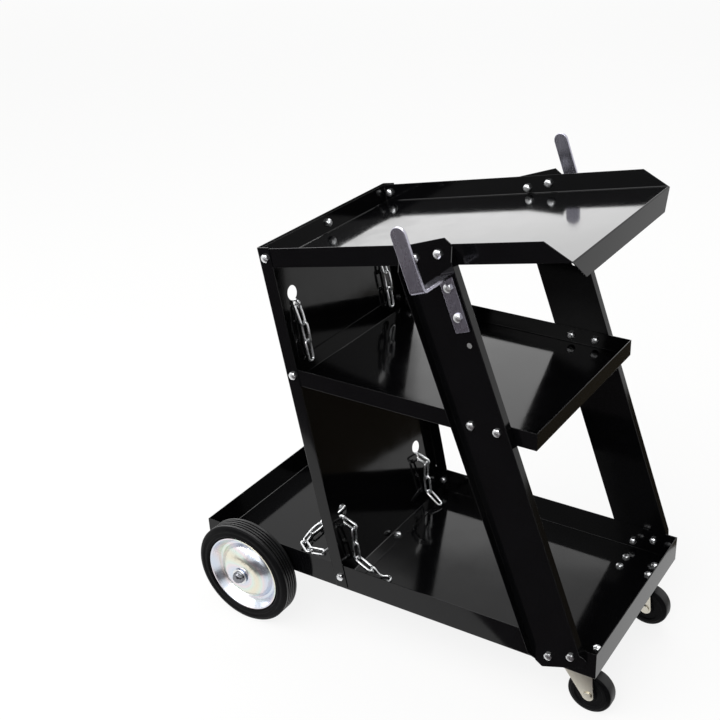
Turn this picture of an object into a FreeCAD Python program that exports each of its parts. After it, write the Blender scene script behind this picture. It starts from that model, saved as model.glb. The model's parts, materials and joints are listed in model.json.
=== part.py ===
import FreeCAD, Part
import math
import os

import Sketcher
from FreeCAD import Placement, Rotation, Vector

# A folded-sheet cart for a welding set and its gas cylinder: three trays hung
# between a leaning back panel and two slanting front legs, on two large rear
# wheels and two swivel casters. Two chains for the cylinder pass through the
# keyholes of the back panel.
#
# Millimetres and degrees. +X is the caster end, +Z is up, the ground is Z = 0.
# Stations are distances forward from the rear end of the bottom tray.

SIZES = {
    # Sheet steel, shared by the trays, the back panel and the legs
    "sheet_gauge": 1.2,
    "bend_radius": 1.6,
    "rest_gap": 0.2,
    "tray_width": 290.0,
    # Bottom tray
    "bottom_length": 629.0,
    "bottom_flange": 40.0,
    "bottom_height": 90.0,
    # Back panel, measured along its own rear face
    "panel_station": 231.0,
    "panel_lean": 9.9,
    "panel_length": 503.0,
    "panel_flange": 19.0,
    "panel_bolt_inset": 11.0,
    "panel_foot_flange": 20.0,
    "keyhole_spread": 200.0,
    "keyhole_low": 97.0,
    "keyhole_high": 426.0,
    "keyhole_round": 20.0,
    "keyhole_slot": 5.5,
    "keyhole_drop": 24.0,
    # Middle tray
    "middle_height": 402.0,
    "middle_front": 539.0,
    "middle_flange": 24.0,
    # Top tray
    "top_height": 560.0,
    "top_tilt": 11.6,
    "top_length": 435.0,
    "top_flange": 25.0,
    "top_cut": 32.0,
    "top_lip": 25.0,
    "lip_inset": 26.0,
    # Front legs, measured along and across the slanting leg
    "leg_station": 578.5,
    "leg_foot": 108.0,
    "leg_lean": 19.8,
    "leg_web": 77.0,
    "leg_flange": 11.0,
    "leg_bolt_span": 546.0,
    "leg_bolt_spread": 33.0,
    "leg_end": 17.0,
    "leg_chamfer_across": 7.0,
    "leg_chamfer_along": 10.0,
    "leg_flange_slope": 17.0,
    "shelf_bolt_spread": 36.0,
    # Cable hooks of flat bar
    "hook_width": 20.0,
    "hook_gauge": 4.0,
    "hook_across": 18.0,
    "hook_foot": 450.0,
    "hook_arm": 518.0,
    "hook_reach": 59.0,
    "hook_top": 598.0,
    "hook_hole_top": 506.0,
    "hook_hole_pitch": 37.0,
    # Hexagon bolts and nuts
    "bolt_diameter": 6.0,
    "bolt_play": 0.5,
    "thread_play": 0.05,
    "head_flats": 10.0,
    "head_height": 4.0,
    "nut_height": 5.0,
    "bolt_tail": 1.2,
    # Rear axle and wheels
    "axle_station": 85.0,
    "axle_height": 79.5,
    "axle_diameter": 12.0,
    "axle_bracket_gauge": 2.4,
    "axle_bracket_width": 40.0,
    "axle_bracket_inset": 5.0,
    "running_play": 0.06,
    "wheel_width": 30.5,
    "wheel_clearance": 4.5,
    "bush_length": 37.5,
    "bush_wall": 3.0,
    "rim_radius": 60.0,
    "rim_gauge": 1.2,
    "rim_cone": 10.5,
    "washer_gauge": 1.5,
    "washer_radius": 12.0,
    # Swivel casters
    "caster_station": 586.0,
    "caster_spread": 206.0,
    "caster_trail": 22.5,
    "caster_wheel": 63.5,
    "caster_tread": 22.0,
    "caster_plate_length": 62.0,
    "caster_plate_width": 44.0,
    "caster_plate_gauge": 2.4,
    "caster_holes_x": 44.0,
    "caster_holes_y": 25.0,
    "race_height": 8.8,
    "race_radius": 17.0,
    "kingpin_diameter": 10.0,
    "fork_gauge": 2.2,
    "fork_clearance": 1.6,
    "fork_tip": 8.5,
    "caster_axle": 8.0,
    # Welded-link chain
    "wire": 3.6,
    "link_inner": 26.0,
    "link_width_by_wire": 3.72,
    "link_play": 0.25,
    "lock_droop": 30.0,
    "lock_gap": 1.2,
    "eye_radius_by_wire": 1.4,
    "crook_radius": 7.0,
    "crook_shank": 9.0,
    "crook_heading": 34.0,
}

# Links in each free length of chain
TAIL_LINKS = 3
UPPER_LOOP_LINKS = 13
LOWER_LOOP_LINKS = 17
LOWER_LOOP_DROP_JOINTS = 4

RIGHT, LEFT = -1, 1
SIDES = {"right": RIGHT, "left": LEFT}


class Size:
    """A number together with the sheet formula that gives it."""

    def __init__(self, value, formula):
        self.value = value
        self.formula = formula

    def __add__(self, other):
        other = as_size(other)
        return Size(self.value + other.value, f"({self.formula} + {other.formula})")

    def __sub__(self, other):
        other = as_size(other)
        return Size(self.value - other.value, f"({self.formula} - {other.formula})")

    def __mul__(self, other):
        other = as_size(other)
        return Size(self.value * other.value, f"({self.formula} * {other.formula})")

    def __truediv__(self, other):
        other = as_size(other)
        return Size(self.value / other.value, f"({self.formula} / {other.formula})")

    def __neg__(self):
        return Size(-self.value, f"(0 - {self.formula})")


def as_size(value):
    if isinstance(value, Size):
        return value
    return Size(float(value), f"({float(value)})")


def sin(angle):
    return Size(math.sin(math.radians(angle.value)), f"sin({angle.formula})")


def cos(angle):
    return Size(math.cos(math.radians(angle.value)), f"cos({angle.formula})")


def tan(angle):
    return Size(math.tan(math.radians(angle.value)), f"tan({angle.formula})")


class Sizes:
    """The driving sizes, each one readable as an attribute."""

    def __init__(self, sheet, table):
        for row, (name, value) in enumerate(table.items(), start=1):
            sheet.set(f"A{row}", name)
            sheet.set(f"B{row}", str(value))
            sheet.setAlias(f"B{row}", name)
            setattr(self, name, Size(float(value), f"sizes.{name}"))


doc = FreeCAD.newDocument("cylinder_cart")
s = Sizes(doc.addObject("Spreadsheet::Sheet", "sizes"), SIZES)
doc.recompute()

parts = {}

# Places that several pieces share
half_width = s.tray_width / 2
caster_radius = s.caster_wheel / 2
rear = -(s.caster_station + s.caster_trail + caster_radius) / 2
floor_top = s.bottom_height + s.sheet_gauge
hole_radius = s.bolt_diameter / 2 + s.bolt_play
web_face = half_width + s.sheet_gauge
panel_foot = floor_top
panel_foot_x = rear + s.panel_station - tan(s.panel_lean) * (panel_foot - s.bottom_height)
axle_x = rear + s.axle_station
wheel_y = half_width + s.wheel_clearance + s.wheel_width / 2
bush_radius = s.axle_diameter / 2 + s.running_play + s.bush_wall
caster_x = rear + s.caster_station
caster_y = s.caster_spread / 2
fork_top = s.bottom_height - s.caster_plate_gauge - s.race_height - s.rest_gap * 2


def bind(item, prop, value):
    item.setExpression(prop, as_size(value).formula)


def new_body(name):
    body = doc.addObject("PartDesign::Body", name)
    body.Label = name
    parts[name] = body
    return body


def place(item, x, y, z, lean=None):
    """Put a piece at a point, its own Z axis leaning rearward by an angle."""
    angle = as_size(0.0 if lean is None else lean)
    base = [as_size(value) for value in (x, y, z)]
    spot = Vector(*[value.value for value in base])
    item.Placement = Placement(spot, Rotation(Vector(0, -1, 0), angle.value))
    for axis, value in zip("xyz", base):
        bind(item, f"Placement.Base.{axis}", value)
    if lean is not None:
        bind(item, "Placement.Rotation.Angle", angle)


def new_sketch(body, plane, offset=None):
    sketch = body.newObject("Sketcher::SketchObject", f"{body.Name}_sketch")
    support = next(item for item in body.Origin.OriginFeatures if item.Role == plane)
    sketch.AttachmentSupport = [(support, "")]
    sketch.MapMode = "FlatFace"
    if offset is not None:
        bind(sketch, "AttachmentOffset.Base.z", offset)
    return sketch


def hold(sketch, kind, geometry, point, value):
    """Hold a point at a distance from the sketch origin."""
    value = as_size(value)
    rule = Sketcher.Constraint(kind, -1, 1, geometry, point, value.value)
    bind(sketch, f"Constraints[{sketch.addConstraint(rule)}]", value)


def outline(sketch, corners):
    """Draw a closed polygon."""
    corners = [(as_size(x), as_size(y)) for x, y in corners]
    first = sketch.GeometryCount
    count = len(corners)
    for i in range(count):
        (ax, ay), (bx, by) = corners[i], corners[(i + 1) % count]
        start, end = Vector(ax.value, ay.value, 0), Vector(bx.value, by.value, 0)
        sketch.addGeometry(Part.LineSegment(start, end), False)
    for i in range(count):
        rule = Sketcher.Constraint("Coincident", first + i, 2, first + (i + 1) % count, 1)
        sketch.addConstraint(rule)
    for i, (x, y) in enumerate(corners):
        hold(sketch, "DistanceX", first + i, 1, x)
        hold(sketch, "DistanceY", first + i, 1, y)


def circle(sketch, x, y, radius):
    x, y, radius = as_size(x), as_size(y), as_size(radius)
    centre = Vector(x.value, y.value, 0)
    ring = sketch.addGeometry(Part.Circle(centre, Vector(0, 0, 1), radius.value), False)
    hold(sketch, "DistanceX", ring, 3, x)
    hold(sketch, "DistanceY", ring, 3, y)
    rule = Sketcher.Constraint("Radius", ring, radius.value)
    bind(sketch, f"Constraints[{sketch.addConstraint(rule)}]", radius)


def pad(body, sketch, length, both_ways=False, backwards=False):
    feature = body.newObject("PartDesign::Pad", f"{body.Name}_pad")
    feature.Profile = sketch
    bind(feature, "Length", length)
    feature.Midplane = both_ways
    feature.Reversed = backwards
    doc.recompute()
    return feature


def pocket(body, sketch, length, both_ways=True, backwards=False):
    """Cut a sketch out of the body, and make sure that something was cut."""
    doc.recompute()
    before = body.Shape.Volume
    feature = body.newObject("PartDesign::Pocket", f"{body.Name}_pocket")
    feature.Profile = sketch
    bind(feature, "Length", length)
    feature.Midplane = both_ways
    feature.Reversed = backwards
    doc.recompute()
    if not body.Shape.Volume < before - 1e-6:
        raise RuntimeError(f"a pocket of {body.Label} cuts nothing")
    return feature


def revolve(body, profile):
    """Turn a profile of (along the axle, radius) points about the body's Y axis."""
    sketch = new_sketch(body, "YZ_Plane")
    outline(sketch, profile)
    feature = body.newObject("PartDesign::Revolution", f"{body.Name}_turned")
    feature.Profile = sketch
    feature.ReferenceAxis = (sketch, ["H_Axis"])
    feature.Angle = 360
    doc.recompute()
    return feature


def round_edges(body, radius, belongs):
    """Round the edges whose ends and middle all pass a test."""
    feature = body.Tip
    names = []
    for number, edge in enumerate(feature.Shape.Edges, start=1):
        points = [vertex.Point for vertex in edge.Vertexes] + [edge.CenterOfMass]
        if all(belongs(point) for point in points):
            names.append(f"Edge{number}")
    if not names:
        raise RuntimeError(f"no edges to round on {body.Label}")
    fillet = body.newObject("PartDesign::Fillet", f"{body.Name}_bend")
    fillet.Base = (feature, names)
    bind(fillet, "Radius", radius)
    doc.recompute()


def near(a, b):
    return abs(a - b.value if isinstance(b, Size) else a - b) < 1e-4


def holes_across(body, spots, radius):
    """Drill holes that run along Y through both side walls of a body."""
    sketch = new_sketch(body, "XZ_Plane")
    for x, z in spots:
        circle(sketch, x, z, radius)
    pocket(body, sketch, s.tray_width * 2)


def leaning(x, z, foot_x, foot_z, lean):
    """World X and Z of a point given in the frame of a leaning piece."""
    return (foot_x + x * cos(lean) - z * sin(lean), foot_z + x * sin(lean) + z * cos(lean))


def upright(x, z, foot_x, foot_z, lean):
    """The same point the other way: world X and Z in the frame of a leaning piece."""
    along, up = x - foot_x, z - foot_z
    return (along * cos(lean) + up * sin(lean), up * cos(lean) - along * sin(lean))


# Bolt centres, as world (X, Z) pairs that hold for both sides of the cart
def panel_x(z):
    """Rear face of the back panel at a height."""
    return rear + s.panel_station - tan(s.panel_lean) * (z - s.bottom_height)


panel_depth = s.sheet_gauge / cos(s.panel_lean) + s.thread_play
top_rear_x = panel_x(s.top_height) + panel_depth
middle_rear_x = panel_x(s.middle_height) + panel_depth


def panel_bolt(z):
    return (panel_x(z) + s.panel_bolt_inset, z)


panel_bolts = {
    "bottom": panel_bolt(s.bottom_height + s.bottom_flange / 2),
    "middle": panel_bolt(s.middle_height + s.middle_flange * 0.6),
    "top": panel_bolt(s.top_height + s.top_flange * 0.6),
}


# The bolt through the panel's foot flange, on the centre line
foot_bolt = (panel_foot_x + s.panel_foot_flange / 2, panel_foot + s.sheet_gauge / 2)


def on_leg(across, along):
    return leaning(across, along, rear + s.leg_station, s.leg_foot, s.leg_lean)


shelf_z = s.middle_height + s.middle_flange / 2
shelf_x = rear + s.leg_station - tan(s.leg_lean) * (shelf_z - s.leg_foot)
leg_bolts = {
    "bottom": [on_leg(s.leg_bolt_spread / 2 * k, as_size(0)) for k in (-1, 1)],
    "middle": [(shelf_x + s.shelf_bolt_spread / 2 * k, shelf_z) for k in (-1, 1)],
    "top": [on_leg(s.leg_bolt_spread / 2 * k, s.leg_bolt_span) for k in (-1, 1)],
}


def folded_tray(name, length, flange, rear_slope, cut=None):
    """A sheet floor with its edges folded up.

    The profile stands in the XZ plane. The rear flange leans by rear_slope, and
    a tray with a cut has an open front, its side flanges sloping down to it.
    """
    body = new_body(name)
    slope = tan(rear_slope)
    above = flange + 1
    wall = s.sheet_gauge / cos(rear_slope)
    front_top = length if cut is None else length - cut
    inner_front = length - s.sheet_gauge if cut is None else length + 1
    block = new_sketch(body, "XZ_Plane")
    outline(block, [(0, 0), (length, 0), (front_top, flange), (-(slope * flange), flange)])
    pad(body, block, s.tray_width, both_ways=True)
    hollow = new_sketch(body, "XZ_Plane")
    outline(hollow, [
        (wall - slope * s.sheet_gauge, s.sheet_gauge),
        (inner_front, s.sheet_gauge),
        (inner_front, above),
        (wall - slope * above, above),
    ])
    pocket(body, hollow, s.tray_width - s.sheet_gauge * 2)
    return body


def bottom_tray():
    body = folded_tray("bottom_tray", s.bottom_length, s.bottom_flange, as_size(0))
    round_edges(body, s.bend_radius, lambda p: near(p.z, 0))
    spots = [panel_bolts["bottom"]] + leg_bolts["bottom"]
    holes_across(body, [(x - rear, z - s.bottom_height) for x, z in spots], hole_radius)
    floor = new_sketch(body, "XY_Plane")
    for x, y in [(foot_bolt[0], as_size(0)), *caster_bolt_spots()]:
        circle(floor, x - rear, y, hole_radius)
    pocket(body, floor, s.sheet_gauge * 4)
    place(body, rear, 0, s.bottom_height)


def caster_bolt_spots():
    for side in SIDES.values():
        for i in (-0.5, 0.5):
            for j in (-0.5, 0.5):
                yield caster_x + s.caster_holes_x * i, caster_y * side + s.caster_holes_y * j


def middle_tray():
    length = rear + s.middle_front - middle_rear_x
    body = folded_tray("middle_tray", length, s.middle_flange, s.panel_lean)
    round_edges(body, s.bend_radius, lambda p: near(p.z, 0))
    spots = [panel_bolts["middle"]] + leg_bolts["middle"]
    holes_across(body, [(x - middle_rear_x, z - s.middle_height) for x, z in spots], hole_radius)
    place(body, middle_rear_x, 0, s.middle_height)


def top_tray():
    body = folded_tray("top_tray", s.top_length, s.top_flange, s.panel_lean - s.top_tilt,
                       cut=s.top_cut)
    lip = new_sketch(body, "YZ_Plane", offset=s.top_length)
    tip = half_width - s.lip_inset
    outline(lip, [(-half_width, 0), (half_width, 0), (tip, -s.top_lip), (-tip, -s.top_lip)])
    pad(body, lip, s.sheet_gauge, backwards=True)
    front = s.top_length.value
    round_edges(body, s.bend_radius, lambda p: near(p.z, 0) and p.x < front - 2 * s.sheet_gauge.value
                or near(p.z, s.sheet_gauge) and near(p.x, front))
    spots = [panel_bolts["top"]] + leg_bolts["top"]
    holes_across(body, [upright(x, z, top_rear_x, s.top_height, s.top_tilt) for x, z in spots],
                 hole_radius)
    rear_hole = new_sketch(body, "YZ_Plane")
    circle(rear_hole, 0, top_rear_bolt, hole_radius)
    pocket(body, rear_hole, s.top_flange)
    place(body, top_rear_x, 0, s.top_height, s.top_tilt)


top_rear_bolt = s.top_flange * 0.55


def back_panel():
    """A wide channel whose flanges point forward and clasp the trays."""
    body = new_body("back_panel")
    edge = web_face
    channel = new_sketch(body, "XY_Plane")
    outline(channel, [
        (0, -edge), (s.panel_flange, -edge), (s.panel_flange, -half_width),
        (s.sheet_gauge, -half_width), (s.sheet_gauge, half_width),
        (s.panel_flange, half_width), (s.panel_flange, edge), (0, edge),
    ])
    pad(body, channel, s.panel_length)
    round_edges(body, s.bend_radius, lambda p: near(p.x, 0) and near(abs(p.y), edge))
    # Foot flange, level on the floor of the bottom tray
    level_x, level_z = cos(s.panel_lean), -sin(s.panel_lean)
    toe_x, toe_z = level_x * s.panel_foot_flange, level_z * s.panel_foot_flange
    lift_x, lift_z = -level_z * s.sheet_gauge, level_x * s.sheet_gauge
    flange = new_sketch(body, "XZ_Plane")
    outline(flange, [(0, 0), (toe_x, toe_z), (toe_x + lift_x, toe_z + lift_z), (lift_x, lift_z)])
    pad(body, flange, (half_width - s.sheet_gauge - s.rest_gap * 2) * 2, both_ways=True)
    flange_hole = new_sketch(body, "XY_Plane")
    hole_x, _ = upright(*foot_bolt, panel_foot_x, panel_foot, s.panel_lean)
    circle(flange_hole, hole_x, 0, hole_radius)
    pocket(body, flange_hole, s.panel_foot_flange)
    spots = [upright(x, z, panel_foot_x, panel_foot, s.panel_lean) for x, z in panel_bolts.values()]
    holes_across(body, spots, hole_radius)
    # Reliefs that let the side flanges of the bottom tray pass the web
    relief = new_sketch(body, "YZ_Plane")
    relief_top = s.bottom_flange / cos(s.panel_lean) + 2
    inner = half_width - s.sheet_gauge - s.rest_gap * 2
    for k in SIDES.values():
        outline(relief, [(inner * k, -1), (half_width * k, -1),
                         (half_width * k, relief_top), (inner * k, relief_top)])
    pocket(body, relief, s.sheet_gauge * 4)
    rounds = new_sketch(body, "YZ_Plane")
    slots = new_sketch(body, "YZ_Plane")
    half_slot = s.keyhole_slot / 2
    for k in SIDES.values():
        for height in (s.keyhole_low, s.keyhole_high):
            centre = s.keyhole_spread / 2 * k
            circle(rounds, centre, height, s.keyhole_round / 2)
            foot = height - s.keyhole_drop + half_slot
            circle(rounds, centre, foot, half_slot)
            outline(slots, [(centre - half_slot, foot), (centre + half_slot, foot),
                            (centre + half_slot, height), (centre - half_slot, height)])
    pocket(body, rounds, s.sheet_gauge * 4)
    pocket(body, slots, s.sheet_gauge * 4)
    tray_bolt = new_sketch(body, "YZ_Plane")
    _, up = upright(*rear_bolt_spot(), panel_foot_x, panel_foot, s.panel_lean)
    circle(tray_bolt, 0, up, hole_radius)
    pocket(body, tray_bolt, s.sheet_gauge * 4)
    place(body, panel_foot_x, 0, panel_foot, s.panel_lean)


def rear_bolt_spot():
    """Where the bolt through the top tray's rear flange meets the tray's outer face."""
    slope = tan(s.panel_lean - s.top_tilt)
    return leaning(-(slope * top_rear_bolt), top_rear_bolt, top_rear_x, s.top_height, s.top_tilt)


def front_leg(name, side):
    """A channel with its flanges turned outward and its ends nipped to a tab."""
    body = new_body(name)
    half = s.leg_web / 2
    low, high = -s.leg_end, s.leg_bolt_span + s.leg_end
    nip, rise = half - s.leg_chamfer_across, s.leg_chamfer_along
    web = new_sketch(body, "XZ_Plane")
    outline(web, [
        (-nip, low), (nip, low), (half, low + rise), (half, high - rise),
        (nip, high), (-nip, high), (-half, high - rise), (-half, low + rise),
    ])
    pad(body, web, s.sheet_gauge, backwards=side == LEFT)
    edge = s.sheet_gauge + s.leg_flange
    for station, backwards in ((half, True), (-half, False)):
        flange = new_sketch(body, "YZ_Plane", offset=station)
        outline(flange, [
            (0, low + rise), (edge * side, low + rise + s.leg_flange_slope),
            (edge * side, high - rise - s.leg_flange_slope), (0, high - rise),
        ])
        pad(body, flange, s.sheet_gauge, backwards=backwards)
    round_edges(body, s.sheet_gauge * 0.8, lambda p: near(p.y, 0) and near(abs(p.x), half))
    foot = (rear + s.leg_station, s.leg_foot, s.leg_lean)
    spots = [upright(x, z, *foot) for row in leg_bolts.values() for x, z in row]
    spots += [(s.hook_across, s.hook_hole_top - s.hook_hole_pitch * k) for k in range(3)]
    holes_across(body, spots, hole_radius)
    place(body, rear + s.leg_station, half_width * side, s.leg_foot, s.leg_lean)


def cable_hook(name, side):
    """Flat bar bent into a strap, an arm that stands out and a rounded upright."""
    body = new_body(name)
    reach, gauge = s.hook_reach, s.hook_gauge
    centre_top = s.hook_top - s.hook_width / 2
    bar = new_sketch(body, "YZ_Plane")
    outline(bar, [
        (0, s.hook_foot), (gauge * side, s.hook_foot), (gauge * side, s.hook_arm),
        ((reach + gauge) * side, s.hook_arm), ((reach + gauge) * side, centre_top),
        (reach * side, centre_top), (reach * side, s.hook_arm + gauge), (0, s.hook_arm + gauge),
    ])
    pad(body, bar, s.hook_width, both_ways=True)
    round_edges(body, gauge * 1.5, lambda p: near(p.y, 0) and near(p.z, s.hook_arm + gauge)
                or near(abs(p.y), reach + gauge) and near(p.z, s.hook_arm))
    round_edges(body, gauge * 0.5, lambda p: near(abs(p.y), gauge) and near(p.z, s.hook_arm)
                or near(abs(p.y), reach) and near(p.z, s.hook_arm + gauge))
    # The sketch plane faces the right-hand side, so its offset counts that way
    crown = new_sketch(body, "XZ_Plane", offset=-(reach * side))
    circle(crown, 0, centre_top, s.hook_width / 2)
    pad(body, crown, gauge, backwards=side == LEFT)
    holes_across(body, [(0, s.hook_hole_top - s.hook_hole_pitch * k) for k in range(2)],
                 hole_radius)
    x, z = on_leg(s.hook_across, as_size(0))
    place(body, x, web_face * side, z, s.leg_lean)


def bolt(name, grip):
    """A hexagon bolt: the head ends at Z = 0 and the shank runs up from there."""
    head = doc.addObject("Part::Prism", f"{name}_head")
    head.Polygon = 6
    bind(head, "Circumradius", s.head_flats / cos(as_size(30)) / 2)
    bind(head, "Height", s.head_height)
    bind(head, "Placement.Base.z", -s.head_height)
    shank = doc.addObject("Part::Cylinder", f"{name}_shank")
    bind(shank, "Radius", s.bolt_diameter / 2)
    bind(shank, "Height", grip + s.nut_height + s.bolt_tail)
    whole = doc.addObject("Part::Fuse", name)
    whole.Base, whole.Tool = head, shank
    doc.recompute()
    return whole.Shape


def nut(name):
    """A hexagon nut that stands on Z = 0."""
    block = doc.addObject("Part::Prism", f"{name}_block")
    block.Polygon = 6
    bind(block, "Circumradius", s.head_flats / cos(as_size(30)) / 2)
    bind(block, "Height", s.nut_height)
    bore = doc.addObject("Part::Cylinder", f"{name}_bore")
    bind(bore, "Radius", s.bolt_diameter / 2 + s.thread_play)
    bind(bore, "Height", s.nut_height)
    whole = doc.addObject("Part::Cut", name)
    whole.Base, whole.Tool = block, bore
    doc.recompute()
    return whole.Shape


def group(name, shape, spots):
    """Copies of one small piece, each at a point and along a direction."""
    copies = []
    for point, direction in spots:
        copy = shape.copy()
        copy.Placement = Placement(point, Rotation(Vector(0, 0, 1), direction))
        copies.append(copy)
    item = doc.addObject("Part::Feature", name)
    item.Label = name
    item.Shape = Part.makeCompound(copies)
    parts[name] = item


def fasten(name, grip, spots):
    """A bolt and a nut at each spot: the seat of the head and the way in."""
    group(f"{name}_bolts", bolt(f"{name}_bolt", grip), spots)
    seats = [(point + direction * grip.value, direction) for point, direction in spots]
    group(f"{name}_nuts", nut(f"{name}_nut"), seats)


def side_spots(centres, face):
    """Bolt seats on both sides of the cart, heads outward."""
    spots = []
    for side in SIDES.values():
        for x, z in centres:
            spots.append((Vector(x.value, face.value * side, z.value), Vector(0, -side, 0)))
    return spots


def fasteners():
    two_sheets = s.sheet_gauge * 2 + s.thread_play
    spots = side_spots(panel_bolts.values(), web_face)
    spot_x, spot_z = rear_bolt_spot()
    inward = Vector(cos(s.panel_lean).value, 0, sin(s.panel_lean).value)
    seat = Vector(spot_x.value, 0, spot_z.value) - inward * (s.sheet_gauge + s.thread_play).value
    foot_seat = Vector(foot_bolt[0].value, 0, (floor_top + s.sheet_gauge).value)
    fasten("panel", two_sheets, spots + [(seat, inward), (foot_seat, Vector(0, 0, -1))])
    leg_spots = [spot for row in leg_bolts.values() for spot in row]
    fasten("leg", two_sheets, side_spots(leg_spots, web_face))
    hook_spots = [on_leg(s.hook_across, s.hook_hole_top - s.hook_hole_pitch * k) for k in range(2)]
    fasten("hook", s.hook_gauge + s.sheet_gauge,
           side_spots(hook_spots, web_face + s.hook_gauge))
    floor_spots = [(Vector(x.value, y.value, floor_top.value), Vector(0, 0, -1))
                   for x, y in caster_bolt_spots()]
    fasten("caster", s.sheet_gauge + s.caster_plate_gauge, floor_spots)


def axle_bracket(name, side):
    """An angle welded under the floor, its upright leaf bored for the axle."""
    body = new_body(name)
    gauge, half = s.axle_bracket_gauge, s.axle_bracket_width / 2
    drop = s.bottom_height - s.axle_height
    leaf = drop + s.axle_diameter
    angle = new_sketch(body, "YZ_Plane")
    outline(angle, [
        (0, 0), (0, -leaf), (-gauge * side, -leaf), (-gauge * side, -gauge),
        (-half * side, -gauge), (-half * side, 0),
    ])
    pad(body, angle, s.axle_bracket_width, both_ways=True)
    round_edges(body, s.axle_diameter * 0.8,
                lambda p: near(abs(p.x), half) and near(p.z, -leaf))
    bore = new_sketch(body, "XZ_Plane")
    circle(bore, 0, -drop, s.axle_diameter / 2 + s.thread_play)
    pocket(body, bore, gauge * 4)
    place(body, axle_x, (half_width - s.axle_bracket_inset) * side, s.bottom_height)


def rear_axle():
    shaft = doc.addObject("Part::Cylinder", "rear_axle")
    shaft.Label = "rear_axle"
    reach = axle_end
    bind(shaft, "Radius", s.axle_diameter / 2)
    bind(shaft, "Height", reach * 2)
    shaft.Placement = Placement(Vector(axle_x.value, reach.value, s.axle_height.value),
                                Rotation(Vector(1, 0, 0), 90))
    parts["rear_axle"] = shaft


bush_inner_end = wheel_y - s.bush_length / 2
bush_outer_end = wheel_y + s.bush_length / 2
cap_seat = bush_outer_end + s.rest_gap * 2 + s.washer_gauge
axle_end = cap_seat + s.axle_diameter / 2


def tube(outer, inner, start, length):
    """A plain ring about Y, from start outward."""
    at, way = Vector(0, start.value, 0), Vector(0, 1, 0)
    ring = Part.makeCylinder(outer.value, length.value, at, way)
    return ring.cut(Part.makeCylinder(inner.value, length.value, at, way))


def axle_small_parts():
    """Spacers that keep the wheels off the brackets, and washers outside the wheels."""
    bore = s.axle_diameter / 2 + s.running_play
    spacer_start = half_width - s.axle_bracket_inset + s.rest_gap
    spacer = tube(bush_radius, bore, spacer_start, bush_inner_end - s.rest_gap - spacer_start)
    washer = tube(s.washer_radius, bore, bush_outer_end + s.rest_gap, s.washer_gauge)
    at_axle = Vector(axle_x.value, 0, s.axle_height.value)
    for name, ring in (("axle_spacers", spacer), ("axle_washers", washer)):
        pair = [ring, ring.mirror(Vector(0, 0, 0), Vector(0, 1, 0))]
        item = doc.addObject("Part::Feature", name)
        item.Label = name
        item.Shape = Part.makeCompound(pair)
        item.Placement = Placement(at_axle, Rotation())
        parts[name] = item


def axle_cap(name, side):
    """A pressed cap driven on to the axle end."""
    body = new_body(name)
    bore = s.axle_diameter / 2 + s.thread_play
    depth = axle_end - cap_seat + s.rest_gap
    rim = bore + s.bush_wall
    skin = s.rim_gauge
    revolve(body, [
        (0, 0), (0, rim), (depth * 0.4 * side, rim), (depth * side, bore + skin),
        ((depth + skin * 1.8) * side, bore * 0.5), ((depth + skin * 1.8) * side, 0),
    ])
    hollow = new_sketch(body, "XZ_Plane")
    circle(hollow, 0, 0, bore)
    pocket(body, hollow, depth, both_ways=False, backwards=side == RIGHT)
    place(body, axle_x, cap_seat * side, s.axle_height)


def rear_wheel(prefix, side):
    """A rubber tyre held between two pressed steel rim halves on a plain bush."""
    gauge = s.rim_gauge
    lip = s.wheel_width / 2 - 2
    seat = bush_radius + s.thread_play
    # Outer half: rolled lip, cone, narrow valley, centre domed out to the end of the bush
    crown = s.bush_length / 2 - s.washer_gauge
    valley = s.rim_radius - s.rim_cone
    dish = [
        (lip, s.rim_radius), (lip, s.rim_radius - 2), (gauge, valley), (gauge, valley - 4),
        (crown * 0.5, valley - 9), (crown * 0.85, valley - 19), (crown, valley - 28), (crown, seat),
    ]
    back = [(y - gauge, r) for y, r in reversed(dish)]
    outer = new_body(f"{prefix}_rim_outer")
    revolve(outer, [(as_size(y) * side, r) for y, r in dish + back])
    # Inner half: plain cone and web, back to back with the outer half
    cup = [(lip, s.rim_radius), (gauge, valley), (gauge, seat)]
    cup_back = [(y - gauge, r) for y, r in reversed(cup)]
    inner = new_body(f"{prefix}_rim_inner")
    revolve(inner, [(-as_size(y) * side, r) for y, r in cup + cup_back])
    tyre = new_body(f"{prefix}_tyre")
    bead = valley + 1.6
    edge, tread = s.wheel_width / 2, s.axle_height
    half = [
        (1, bead), (lip - gauge - s.rest_gap * 4, s.rim_radius + s.rest_gap),
        (edge, s.rim_radius + 4), (edge, tread - 6), (edge - 4, tread),
    ]
    revolve(tyre, half + [(-as_size(y), r) for y, r in reversed(half)])
    bush = new_body(f"{prefix}_bush")
    bore = s.axle_diameter / 2 + s.running_play
    reach = s.bush_length / 2
    revolve(bush, [(-reach, bore), (reach, bore), (reach, bush_radius), (-reach, bush_radius)])
    for body in (outer, inner, tyre, bush):
        place(body, axle_x, wheel_y * side, s.axle_height)


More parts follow.
